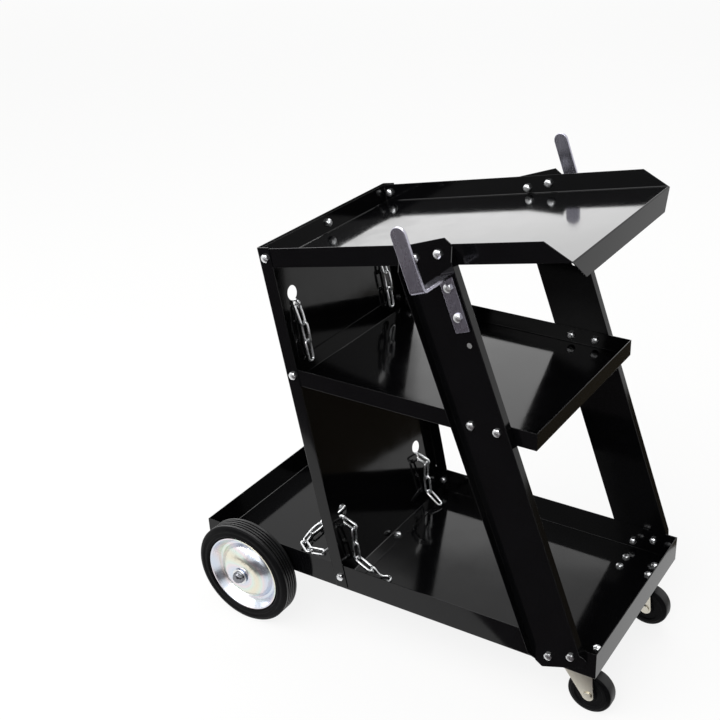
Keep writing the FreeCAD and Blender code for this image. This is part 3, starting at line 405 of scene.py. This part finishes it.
def spun_zinc(name, colour, centre):
    """Pressed rim zinc: fine turning rings round the axle and a faint rainbow of passivation."""
    material, tree, shader = new_material(name)
    place = add_node(tree, "ShaderNodeTexCoord", {}).outputs["Object"]
    about_axle = add_node(tree, "ShaderNodeMapping",
                          {"Vector": place, "Location": (-centre.x, 0, -centre.z)}).outputs["Vector"]
    bands = add_node(tree, "ShaderNodeTexWave",
                     {"Vector": about_axle, "Scale": WAVE / (45 * MM), "Distortion": 7, "Detail": 2},
                     wave_type="RINGS", rings_direction="Y")
    rainbow = add_node(tree, "ShaderNodeValToRGB", {"Fac": bands.outputs["Fac"]})
    stops = rainbow.color_ramp.elements
    while len(stops) < len(RAINBOW):
        stops.new(0.5)
    for stop, (along, shade) in zip(stops, RAINBOW):
        stop.position = along
        stop.color = [c * s for c, s in zip(colour, hex_colour(shade))] + [1]
    # Turning marks, drawn coarser than they are, so that they show
    rings = add_node(tree, "ShaderNodeTexWave",
                     {"Vector": about_axle, "Scale": WAVE / (2 * MM), "Distortion": 1.2, "Detail": 2},
                     wave_type="RINGS", rings_direction="Y")
    ringed = add_node(tree, "ShaderNodeBump",
                      {"Height": rings.outputs["Fac"], "Distance": 0.012 * MM, "Strength": 1})
    connect(tree, shader, {
        "Base Color": rainbow.outputs["Color"],
        "Roughness": mottle(tree, about_axle, 12 * MM, 0.18, 0.32, 4),
        "Normal": ringed.outputs["Normal"],
        "Metallic": 1,
    })
    return material


MATT, POLISHED = 0.05, 0.4  # How much rubber mirrors on its moulded sides and on its tread


def black_rubber(name, colour, grain, shine):
    """Moulded rubber: near-black with a fine mould grain, matt or polished by rolling."""
    material, tree, shader = new_material(name)
    place = add_node(tree, "ShaderNodeTexCoord", {}).outputs["Object"]
    pores = add_node(tree, "ShaderNodeTexNoise", {"Vector": place, "Scale": 1 / grain, "Detail": 3})
    pitted = add_node(tree, "ShaderNodeBump",
                      {"Height": pores.outputs["Fac"], "Distance": 0.08 * MM, "Strength": 1})
    connect(tree, shader, {
        "Base Color": mottle(tree, place, 18 * MM, tint(colour, 0.75), tint(colour, 1.7), 4),
        "Roughness": mottle(tree, place, 10 * MM, 0.36, 0.52),
        "Normal": pitted.outputs["Normal"],
        "IOR": 1.52,
        "Specular IOR Level": shine,
    })
    return material


finishes = {}


def make_finishes(colours):
    """Every finish of the cart: one for each slot in the record, and a few more."""
    bright, rubber = list(colours.bright_zinc), list(colours.rubber)
    low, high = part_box("right_wheel_rim_outer")
    finishes["black_enamel"] = gloss_black_enamel(list(colours.enamel))
    # Rolled bar: dull and faintly violet, with blotches drawn out along it
    finishes["zinc_bar"] = zinc_plate("dull_zinc_bar", list(colours.hook_zinc),
                                      roughness=0.26, blotch=30 * MM, streak=(1, 1, 0.3))
    # Forged heads: bright, and uneven enough to break up what they mirror
    finishes["zinc_fastener"] = zinc_plate("bright_zinc_fastener", bright,
                                           roughness=0.3, blotch=6 * MM, relief=0.3 * MM)
    # Drawn wire: bright, with a satin gleam along each link
    finishes["zinc_chain"] = zinc_plate("bright_zinc_chain", bright, roughness=0.28, blotch=8 * MM)
    # Pressed caps: a nearly perfect mirror, with a dark room's reflection painted into their colour
    finishes["zinc_cap"] = zinc_plate("polished_zinc_cap", list(colours.cap_zinc),
                                      roughness=0.08, blotch=6 * MM)
    # Pressed plate: satin, with the yellow cast of its passivation
    finishes["zinc_caster"] = zinc_plate("warm_zinc_caster", list(colours.warm_zinc),
                                         roughness=0.32, blotch=15 * MM)
    finishes["zinc_rim"] = spun_zinc("spun_zinc_rim", bright, (low + high) / 2)
    finishes["tyre_rubber"] = black_rubber("tyre_rubber", rubber, 1.2 * MM, MATT)
    finishes["tyre_tread"] = black_rubber("polished_tyre_tread", rubber, 1.2 * MM, POLISHED)
    finishes["caster_rubber"] = black_rubber("caster_rubber", rubber, 0.9 * MM, MATT)
    finishes["caster_tread"] = black_rubber("polished_caster_tread", rubber, 0.9 * MM, POLISHED)


# Operators, one for each group of like pieces


SHORTEST_FOLD = 15 * MM
SLACKEST_FOLD = math.radians(45)


class CART_OT_sheet_pieces(bpy.types.Operator):
    """Round the folds and cut edges of the trays, panel, legs and brackets and enamel them."""

    bl_idname = "cart.sheet_pieces"
    bl_label = "Sheet pieces"

    def execute(self, context):
        form = context.scene.cart_form
        nodes = ["bottom_tray", "middle_tray", "top_tray", "back_panel"]
        nodes += [f"{side}_{piece}" for side in SIDES for piece in ("front_leg", "axle_bracket")]
        for node in nodes:
            piece = copy_of(node, f"{node}_finished")
            self.round_folds(piece, form.inner_fold)
            round_sharp_edges(piece, form.sheet_edge)
            finish_shading(piece)
            dress(piece, finishes["black_enamel"], [node])
        return {"FINISHED"}

    def round_folds(self, piece, width):
        """Round the inside of each fold, where the sheet turns in on itself."""
        edit_all(piece)
        select_where(piece, "edges", lambda edge: edge.is_manifold
                     and edge.calc_length() > SHORTEST_FOLD
                     and edge.calc_face_angle_signed() < -SLACKEST_FOLD)
        bpy.ops.mesh.bevel(offset=width, segments=3, affect="EDGES", clamp_overlap=False)
        bpy.ops.object.mode_set(mode="OBJECT")


class CART_OT_cable_hooks(bpy.types.Operator):
    """Round the rolled edges of the two flat-bar cable hooks."""

    bl_idname = "cart.cable_hooks"
    bl_label = "Cable hooks"

    def execute(self, context):
        for side in SIDES:
            softened(f"{side}_cable_hook", context.scene.cart_form.bar_edge,
                     finishes["zinc_bar"], segments=3)
        return {"FINISHED"}


# Steps of a turned hexagon: its height and radius as shares of its height and width over the flats
BLANK = 0.59  # The round blank reaches a little past the corners
BOLT_HEAD = ((0.42, BLANK), (0.66, 0.52), (0.83, 0.41), (0.94, 0.27), (0.99, 0.12), (1, 0.04))
NUT = ((0.5, BLANK), (0.74, 0.52), (0.9, 0.43), (0.98, 0.36), (1, 0.33), (0.88, 0.27))
THREAD_ROOT = 0.9  # The thread's root as a share of its crest


def hexagon(name, flats, height, steps):
    """A round blank built up step by step, with six flats cut on it. Its top is at the origin."""
    clear_selection()
    bpy.ops.mesh.primitive_circle_add(vertices=48, radius=flats * BLANK, fill_type="NGON")
    piece = bpy.context.object
    piece.name = name
    edit_all(piece)
    rise, radius = 0, BLANK
    for next_rise, next_radius in steps:
        bpy.ops.mesh.extrude_region_move(
            TRANSFORM_OT_translate={"value": (0, 0, (next_rise - rise) * height)})
        grow = next_radius / radius
        bpy.ops.transform.resize(value=(grow, grow, 1))
        rise, radius = next_rise, next_radius
    for k in range(6):
        way = Vector((math.cos(k * math.pi / 3), math.sin(k * math.pi / 3), 0))
        bpy.ops.mesh.select_all(action="SELECT")
        bpy.ops.mesh.bisect(plane_co=way * flats / 2, plane_no=way, use_fill=True, clear_outer=True)
    bpy.ops.mesh.select_all(action="SELECT")
    bpy.ops.mesh.normals_make_consistent(inside=False)
    bpy.ops.object.mode_set(mode="OBJECT")
    piece.data.transform(Matrix.Translation((0, 0, -height)))
    return piece


def threaded_stub(radius, start, end, pitch):
    """A short length of thread as a row of sharp rings, with a rounded end."""
    clear_selection()
    bpy.ops.mesh.primitive_circle_add(vertices=24, radius=radius, fill_type="NGON",
                                      location=(0, 0, start))
    piece = bpy.context.object
    apply_place(piece)
    edit_all(piece)
    straight = start - end - pitch / 4
    turns = max(1, int(straight / pitch))
    steps = [(pitch / 2, THREAD_ROOT), (pitch / 2, 1 / THREAD_ROOT)] * turns
    steps += [(straight - turns * pitch, 0.96), (pitch / 8, 0.8), (pitch / 8, 0.5)]
    for drop, grow in steps:
        bpy.ops.mesh.extrude_region_move(TRANSFORM_OT_translate={"value": (0, 0, -drop)})
        bpy.ops.transform.resize(value=(grow, grow, 1))
    bpy.ops.mesh.select_all(action="SELECT")
    bpy.ops.mesh.normals_make_consistent(inside=False)
    bpy.ops.object.mode_set(mode="OBJECT")
    return piece


def read_fastener(faces, points, heads=()):
    """Where a CAD bolt or nut lies, and its sizes. A nut points away from the nearest head.

    The largest flat face gives the way that it points, and the corners of the hexagon give
    its width, the depth of its head and, on a bolt, which end the head is at.
    """
    areas = {}
    for normal, area in faces:
        key = tuple(round(v, 2) for v in normal)
        areas[key] = areas.get(key, Vector()) + normal * area
    ranked = sorted(areas.values(), key=lambda way: -way.length)
    out = ranked[0].normalized()
    # The next largest face that stands square to that is one of the six flats
    flat = next(way for way in ranked if abs(way.normalized().dot(out)) < 0.1)
    along = points @ np.array(out)
    end = points[along > along.max() - NEAR].mean(0)
    radius = np.linalg.norm(np.cross(points - end, out), axis=1)
    corners = radius > radius.max() * 0.9
    if heads:
        nearest = min(heads, key=lambda head: (Vector(end) - head).length)
        turned_round = (Vector(end) - nearest).dot(out) < 0
    else:
        turned_round = along[corners].mean() < along[~corners].mean()
    if turned_round:
        out, along, end = -out, -along, end - np.array(out) * np.ptp(along)
    depth = along.max() - along
    return {
        "place": axes_at(Vector(end), flat, out),
        "flats": radius.max() * math.sqrt(3),
        "head": depth[corners].max(),
        "shank": radius[depth > depth.max() - NEAR].max(),
        "length": depth.max(),
    }


def axes_at(point, x_way, z_way):
    """The place whose Z runs along z_way and whose X runs along x_way."""
    z = z_way.normalized()
    x = (x_way - z * x_way.dot(z)).normalized()
    y = z.cross(x)
    return Matrix.Translation(point) @ Matrix((x, y, z)).transposed().to_4x4()


class CART_OT_fasteners(bpy.types.Operator):
    """Model a hexagon bolt and a nut for each group and set copies where the CAD has them."""

    bl_idname = "cart.fasteners"
    bl_label = "Bolts and nuts"

    def execute(self, context):
        for group in ("panel", "leg", "hook", "caster"):
            heads = self.bolts(f"{group}_bolts", context.scene.cart_form.thread_pitch)
            self.nuts(f"{group}_nuts", heads)
        return {"FINISHED"}

    def bolts(self, node, pitch):
        """Domed heads on a threaded shank."""
        bolts = [read_fastener(faces, points) for faces, points in solids_of(node)]
        flats, head, length = (bolts[0][key] for key in ("flats", "head", "length"))
        bolt = hexagon(node, flats, head, BOLT_HEAD)
        stub = threaded_stub(bolts[0]["shank"], -head, -length, pitch)
        make_active(bolt)
        stub.select_set(True)
        bpy.ops.object.join()
        self.set_at(bolt, node, bolts)
        return [one["place"].translation for one in bolts]

    def nuts(self, node, heads):
        """Nuts with rounded corners and a countersunk thread."""
        nuts = [read_fastener(faces, points, heads) for faces, points in solids_of(node)]
        flats, height = nuts[0]["flats"], nuts[0]["length"]
        nut = hexagon(node, flats, height, NUT)
        self.set_at(nut, node, nuts)

    def set_at(self, master, node, found):
        """Set a copy of the modelled fastener wherever the CAD has one."""
        finish_shading(master, 33)
        piece = copies_at(master, f"{node}_finished", [one["place"] for one in found])
        dress(piece, finishes["zinc_fastener"], [node])


def from_axle(point):
    """How far a point lies from an axle that runs along Y through the origin."""
    return math.hypot(point.x, point.z)


def wheel_sizes(node):
    """The centre of a CAD wheel, its radius, half its width and the radius of its hole."""
    low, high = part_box(node)
    centre = (low + high) / 2
    hole = min(from_axle(v.co - centre) for v in frame["nodes"][node].data.vertices)
    return centre, (high.z - low.z) / 2, (high.y - low.y) / 2, hole


def polish_tread(piece, material, centre, tread):
    """Give the rolling face of a wheel its own, shinier rubber."""
    piece.data.materials.append(material)
    edit_all(piece)
    select_where(piece, "faces", lambda face: from_axle(face.calc_center_median() - centre)
                 > tread - 1 * MM)
    piece.active_material_index = 1
    bpy.ops.object.material_slot_assign()
    bpy.ops.object.mode_set(mode="OBJECT")


class CART_OT_rear_wheels(bpy.types.Operator):
    """Turn the grooved tyres of the rear wheels and round the edges of their pressed rims and bushes.
    """

    bl_idname = "cart.rear_wheels"
    bl_label = "Rear wheels"

    def execute(self, context):
        form = context.scene.cart_form
        rim_edge = form.pressed_edge * 0.8  # The rim's sheet is thin
        for side in SIDES:
            self.tyre(side, form)
            for half in ("rim_outer", "rim_inner", "bush"):
                softened(f"{side}_wheel_{half}", rim_edge, finishes["zinc_rim"])
        return {"FINISHED"}

    def tyre(self, side, form):
        """A tyre with a bead in the rim, a moulded ring on each side and grooves round the tread."""
        node = f"{side}_wheel_tyre"
        centre, tread, half, bead = wheel_sizes(node)
        rim_low, rim_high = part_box(f"{side}_wheel_rim_outer")
        rim = (rim_high.z - rim_low.z) / 2
        flat = half - 4 * MM
        shoulder = [
            (1 * MM, bead), (flat, rim + 0.2 * MM), (half, rim + 4 * MM),
            # A shallow ring in the side
            (half, rim + 6.5 * MM), (half - 0.6 * MM, rim + 7.5 * MM),
            (half - 0.6 * MM, rim + 10 * MM), (half, rim + 11 * MM),
            # The shoulder
            (half, tread - 6 * MM), (half - 1.6 * MM, tread - 2 * MM), (flat, tread),
        ]
        across = []
        wide, deep = form.groove_width / 2, form.groove_depth
        for k in range(form.groove_count):
            middle = flat - 2 * flat * (k + 1) / (form.groove_count + 1)
            across += [(middle + wide, tread), (middle + wide * 0.5, tread - deep),
                       (middle - wide * 0.5, tread - deep), (middle - wide, tread)]
        other = [(-along, out) for along, out in reversed(shoulder)]
        piece = turned(f"{node}_finished", shoulder + across + other, centre, "Y",
                       rounding=0.25 * MM, steps=120)
        dress(piece, finishes["tyre_rubber"], [node])
        polish_tread(piece, finishes["tyre_tread"], centre, tread)


class CART_OT_rear_axle(bpy.types.Operator):
    """Round the edges of the rear axle, its washers, spacers and caps."""

    bl_idname = "cart.rear_axle"
    bl_label = "Rear axle"

    def execute(self, context):
        width = context.scene.cart_form.pressed_edge * 0.7  # Turned edges are crisper
        for node in ("rear_axle", "axle_washers", "axle_spacers"):
            softened(node, width, finishes["zinc_fastener"])
        for side in SIDES:
            softened(f"{side}_axle_cap", width, finishes["zinc_cap"])
        return {"FINISHED"}


class CART_OT_casters(bpy.types.Operator):
    """Round the pressed steel of the casters and turn their rubber wheels."""

    bl_idname = "cart.casters"
    bl_label = "Casters"

    def execute(self, context):
        width = context.scene.cart_form.pressed_edge
        for side in SIDES:
            for piece in ("plate", "race", "kingpin", "fork", "axle", "bush"):
                softened(f"{side}_caster_{piece}", width, finishes["zinc_caster"])
            self.roller(f"{side}_caster_wheel")
        return {"FINISHED"}

    def roller(self, node):
        """A moulded wheel: boss, sunk web, stepped side and rounded tread."""
        centre, tread, half, bore = wheel_sizes(node)
        side = [
            (half, bore), (half, bore + 5 * MM),
            # The sunk web
            (half - 2.5 * MM, bore + 6 * MM), (half - 2.5 * MM, tread * 0.62),
            # The stepped side
            (half - 1 * MM, tread * 0.66), (half - 1 * MM, tread * 0.8),
            (half - 1.8 * MM, tread * 0.83), (half - 2.2 * MM, tread * 0.9),
            # The rounded tread
            (half - 4 * MM, tread * 0.97), (half - 7 * MM, tread),
        ]
        piece = turned(f"{node}_finished", side + [(-along, out) for along, out in reversed(side)],
                       centre, "Y", rounding=0.4 * MM)
        dress(piece, finishes["caster_rubber"], [node])
        polish_tread(piece, finishes["caster_tread"], centre, tread)


CHAINS = ["chain_lock_links", "upper_chain_loop", "lower_chain_loop"]
CHAINS += [f"{level}_{side}_chain_tail" for level in ("upper", "lower") for side in SIDES]


def link_frame(points):
    """The centre of a link, the ways of its length, width and thickness, and those sizes."""
    centre = points.mean(0)
    values, ways = np.linalg.eigh(np.cov((points - centre).T))
    # Each way points along its largest part, so that the weld lies on the same side each run
    ways = [way * np.sign(way[np.abs(way).argmax()]) for way in ways[:, ::-1].T]
    spans = [np.ptp(points @ way) for way in ways]
    return Vector(centre), Vector(ways[0]), Vector(ways[2]), spans


class CART_OT_chains(bpy.types.Operator):
    """Bend a welded link, set a copy at every link of each chain, and smooth the hook."""

    bl_idname = "cart.chains"
    bl_label = "Chains"

    def execute(self, context):
        for node in CHAINS:
            frames = [link_frame(points) for faces, points in solids_of(node)]
            link = self.welded_link(*frames[0][3])
            piece = copies_at(link, f"{node}_finished",
                              [axes_at(centre, length, thin) for centre, length, thin, _ in frames])
            dress(piece, finishes["zinc_chain"], [node])
        self.hook()
        return {"FINISHED"}

    def welded_link(self, length, width, wire):
        """A ring of wire pulled out to the link's length, with the weld's swelling on one side."""
        clear_selection()
        bpy.ops.mesh.primitive_torus_add(major_radius=(width - wire) / 2, minor_radius=wire / 2,
                                         major_segments=24, minor_segments=10)
        link = bpy.context.object
        pull = (length - width) / 2
        edit_all(link)
        select_where(link, "verts", lambda v: v.co.x > NEAR)
        bpy.ops.transform.translate(value=(pull, 0, 0))
        select_where(link, "verts", lambda v: v.co.x < -NEAR)
        bpy.ops.transform.translate(value=(-pull, 0, 0))
        select_where(link, "verts", lambda v: abs(v.co.x) < NEAR and v.co.y > 0)
        bpy.ops.transform.shrink_fatten(value=wire * 0.05)
        bpy.ops.object.mode_set(mode="OBJECT")
        bpy.ops.object.shade_smooth()
        return link

    def hook(self):
        """The open wire hook, filled out to a round wire."""
        piece = copy_of("chain_hook", "chain_hook_finished")
        edit_all(piece)
        bpy.ops.transform.shrink_fatten(value=0.1 * MM)
        bpy.ops.object.mode_set(mode="OBJECT")
        bpy.ops.object.modifier_add(type="SUBSURF")
        piece.modifiers[-1].levels = piece.modifiers[-1].render_levels = 2
        bpy.ops.object.modifier_apply(modifier=piece.modifiers[-1].name)
        bpy.ops.object.shade_smooth()
        dress(piece, finishes["zinc_chain"], ["chain_hook"])


CAMERA_PLACE = (0.7219, -1.2048, 1.1110)
CAMERA_TURN, CAMERA_TILT, CAMERA_ROLL = 29.872, 28.131, -0.644  # In degrees
CAMERA_SHIFT = (-0.1368, 0.0420)
SENSOR = 36

# Setting that holds its power, place, aim and size of each soft box
SOFT_BOXES = (
    ("overhead", (-1.15, -1.25, 2.3), (0, 0, 0.35), (2.1, 2.1)),
    ("front", (0.4, -2.2, 2.4), (0, 0, 0.4), (1.6, 1.6)),
    ("backdrop", (-4.9, 6.4, 2.7), (0, 0, 0.6), (7.0, 2.6)),
    ("high", (-3.4, 7.7, 5.1), (0, 0, 0.6), (2.6, 1.9)),
    ("rear", (0.2, 2.3, 3.3), (0, 0, 0.3), (1.8, 1.0)),
)

# Glowing cards that only reflections show: painted dark reflections that stand in for a dark room
# Name, place, size, lean and turn in degrees, and shade of each card
CARDS = (
    ("floor_card", (-0.353, -1.342, 0.002), (5.0, 1.43), 0, CAMERA_TURN, "#544F52"),
    ("standing_card", (1.30, -2.20, 0.5), (7.0, 1.0), 90, CAMERA_TURN, "#544F52"),
    ("side_card", (0.880, 0.944, 0.002), (1.4, 1.6), 0, 18.33, "#4A4336"),
)

FLOOR_RADIUS = 14
FLOOR_DROP = 0.5 * MM  # Keeps the floor clear of the wheels
FLOOR_GLOW = 0.85  # Share of the floor's white that shines; the rest keeps the shadow


def seen_directly(tree):
    """One where the camera sees the surface, also by a reflection or through glass."""
    path = add_node(tree, "ShaderNodeLightPath", {})
    seen = path.outputs["Is Camera Ray"]
    for other in ("Is Glossy Ray", "Is Transmission Ray"):
        seen = add_node(tree, "ShaderNodeMath", {0: seen, 1: path.outputs[other]},
                        operation="MAXIMUM").outputs[0]
    return seen


class CART_OT_stage(bpy.types.Operator):
    """Set up the floor, the soft light and the camera."""

    bl_idname = "cart.stage"
    bl_label = "Stage"

    def execute(self, context):
        stage = context.scene.cart_stage
        self.floor()
        self.surround(context.scene, stage.fill)
        for setting, place, aim, size in SOFT_BOXES:
            self.soft_box(f"{setting}_box", place, aim, size, getattr(stage, setting))
        for card in CARDS:
            self.card(*card)
        self.camera(context.scene, stage.lens)
        context.scene.view_settings.view_transform = "Standard"
        return {"FINISHED"}

    def floor(self):
        """A round white floor that still takes the cart's soft shadow."""
        clear_selection()
        bpy.ops.mesh.primitive_circle_add(vertices=96, radius=FLOOR_RADIUS, fill_type="NGON",
                                          location=(0, 0, -FLOOR_DROP))
        floor = bpy.context.object
        floor.name = "studio_floor"
        material, tree, shader = new_material("pale_studio_floor")
        tree.nodes.remove(shader)
        matt = add_node(tree, "ShaderNodeBsdfDiffuse", {"Color": hex_colour("#F0F0EE") + [1]})
        glow = add_node(tree, "ShaderNodeEmission",
                        {"Color": hex_colour("#FFFFFF") + [1], "Strength": 1})
        share = add_node(tree, "ShaderNodeMath", {0: seen_directly(tree), 1: FLOOR_GLOW},
                         operation="MULTIPLY")
        mix = add_node(tree, "ShaderNodeMixShader",
                       {0: share.outputs[0], 1: matt.outputs[0], 2: glow.outputs[0]})
        connect(tree, tree.nodes["Material Output"], {"Surface": mix.outputs[0]})
        floor.data.materials.append(material)

    def surround(self, scene, fill):
        """White all round to the eye, and a soft fill on the cart."""
        world = bpy.data.worlds.new("white_studio")
        world.use_nodes = True
        scene.world = world
        tree = world.node_tree
        level = add_node(tree, "ShaderNodeMapRange",
                         {"Value": seen_directly(tree), "To Min": fill, "To Max": 1})
        connect(tree, tree.nodes["Background"],
                {"Color": hex_colour("#FFFFFF") + [1], "Strength": level.outputs[0]})

    def soft_box(self, name, place, aim, size, power):
        """A soft box turned to what it lights, which the camera doesn't see."""
        clear_selection()
        bpy.ops.object.light_add(type="AREA", location=place)
        lamp = bpy.context.object
        lamp.name = name
        lamp.data.shape = "RECTANGLE"
        lamp.data.size, lamp.data.size_y = size
        lamp.data.energy = power
        way = Vector(aim) - Vector(place)
        lamp.rotation_euler = way.to_track_quat("-Z", "Y").to_euler()
        lamp.visible_camera = False

    def card(self, name, place, size, lean, turn, shade):
        """A glowing card outside the camera's view, which only reflections show: it paints a dark
        reflection into glossy surfaces, standing in for a dark room.
        """
        clear_selection()
        bpy.ops.mesh.primitive_plane_add(size=1, location=place,
                                         rotation=(math.radians(lean), 0, math.radians(turn)))
        card = bpy.context.object
        card.name = name
        card.scale = (size[0], size[1], 1)
        bpy.ops.object.transform_apply(location=False, rotation=False, scale=True)
        material, tree, shader = new_material(f"paper_{name}")
        tree.nodes.remove(shader)
        # The card glows with its shade as a painted dark reflection, and casts no light
        glow = add_node(tree, "ShaderNodeEmission", {"Color": hex_colour(shade) + [1], "Strength": 1})
        connect(tree, tree.nodes["Material Output"], {"Surface": glow.outputs[0]})
        card.data.materials.append(material)
        card.visible_camera = card.visible_diffuse = card.visible_shadow = False

    def camera(self, scene, lens):
        """The camera, turned about Z, tilted down and then rolled."""
        clear_selection()
        bpy.ops.object.camera_add(location=CAMERA_PLACE)
        camera = bpy.context.object
        turn, tilt, roll = (math.radians(angle) for angle in (CAMERA_TURN, CAMERA_TILT, CAMERA_ROLL))
        camera.rotation_euler = (Matrix.Rotation(turn, 3, "Z")
                                 @ Matrix.Rotation(math.pi / 2 - tilt, 3, "X")
                                 @ Matrix.Rotation(roll, 3, "Z")).to_euler()
        camera.data.sensor_width = SENSOR
        camera.data.lens = lens
        camera.data.shift_x, camera.data.shift_y = CAMERA_SHIFT
        camera.data.clip_end = 100
        scene.camera = camera


class CART_PT_sidebar(bpy.types.Panel):
    """The cart's pieces and settings in the sidebar."""

    bl_label = "Gas cylinder cart"
    bl_idname = "CART_PT_sidebar"
    bl_space_type = "VIEW_3D"
    bl_region_type = "UI"
    bl_category = "Cart"

    def draw(self, context):
        layout = self.layout
        for operator in OPERATORS:
            layout.operator(operator.bl_idname)
        for group in ("cart_finish", "cart_form", "cart_stage"):
            settings = getattr(context.scene, group)
            box = layout.box()
            for key in settings.bl_rna.properties.keys():
                if key not in ("rna_type", "name"):
                    box.prop(settings, key)


OPERATORS = (CART_OT_sheet_pieces, CART_OT_cable_hooks, CART_OT_fasteners, CART_OT_rear_wheels,
             CART_OT_rear_axle, CART_OT_casters, CART_OT_chains, CART_OT_stage)
SETTINGS = {"cart_finish": CartFinish, "cart_form": CartForm, "cart_stage": CartStage}


def register():
    """Make the settings, operators and panel known to Blender."""
    for settings in SETTINGS.values():
        bpy.utils.register_class(settings)
    for name, settings in SETTINGS.items():
        setattr(bpy.types.Scene, name, PointerProperty(type=settings))
    for item in OPERATORS + (CART_PT_sidebar,):
        bpy.utils.register_class(item)


def unregister():
    """Take them away again."""
    for item in reversed(OPERATORS + (CART_PT_sidebar,)):
        bpy.utils.unregister_class(item)
    for name, settings in SETTINGS.items():
        delattr(bpy.types.Scene, name)
        bpy.utils.unregister_class(settings)


def main():
    """Build the whole cart and its stage."""
    register()
    make_finishes(bpy.context.scene.cart_finish)
    bpy.ops.cart.sheet_pieces()
    bpy.ops.cart.cable_hooks()
    bpy.ops.cart.fasteners()
    bpy.ops.cart.rear_wheels()
    bpy.ops.cart.rear_axle()
    bpy.ops.cart.casters()
    bpy.ops.cart.chains()
    bpy.ops.cart.stage()


if __name__ == "__main__":
    main()
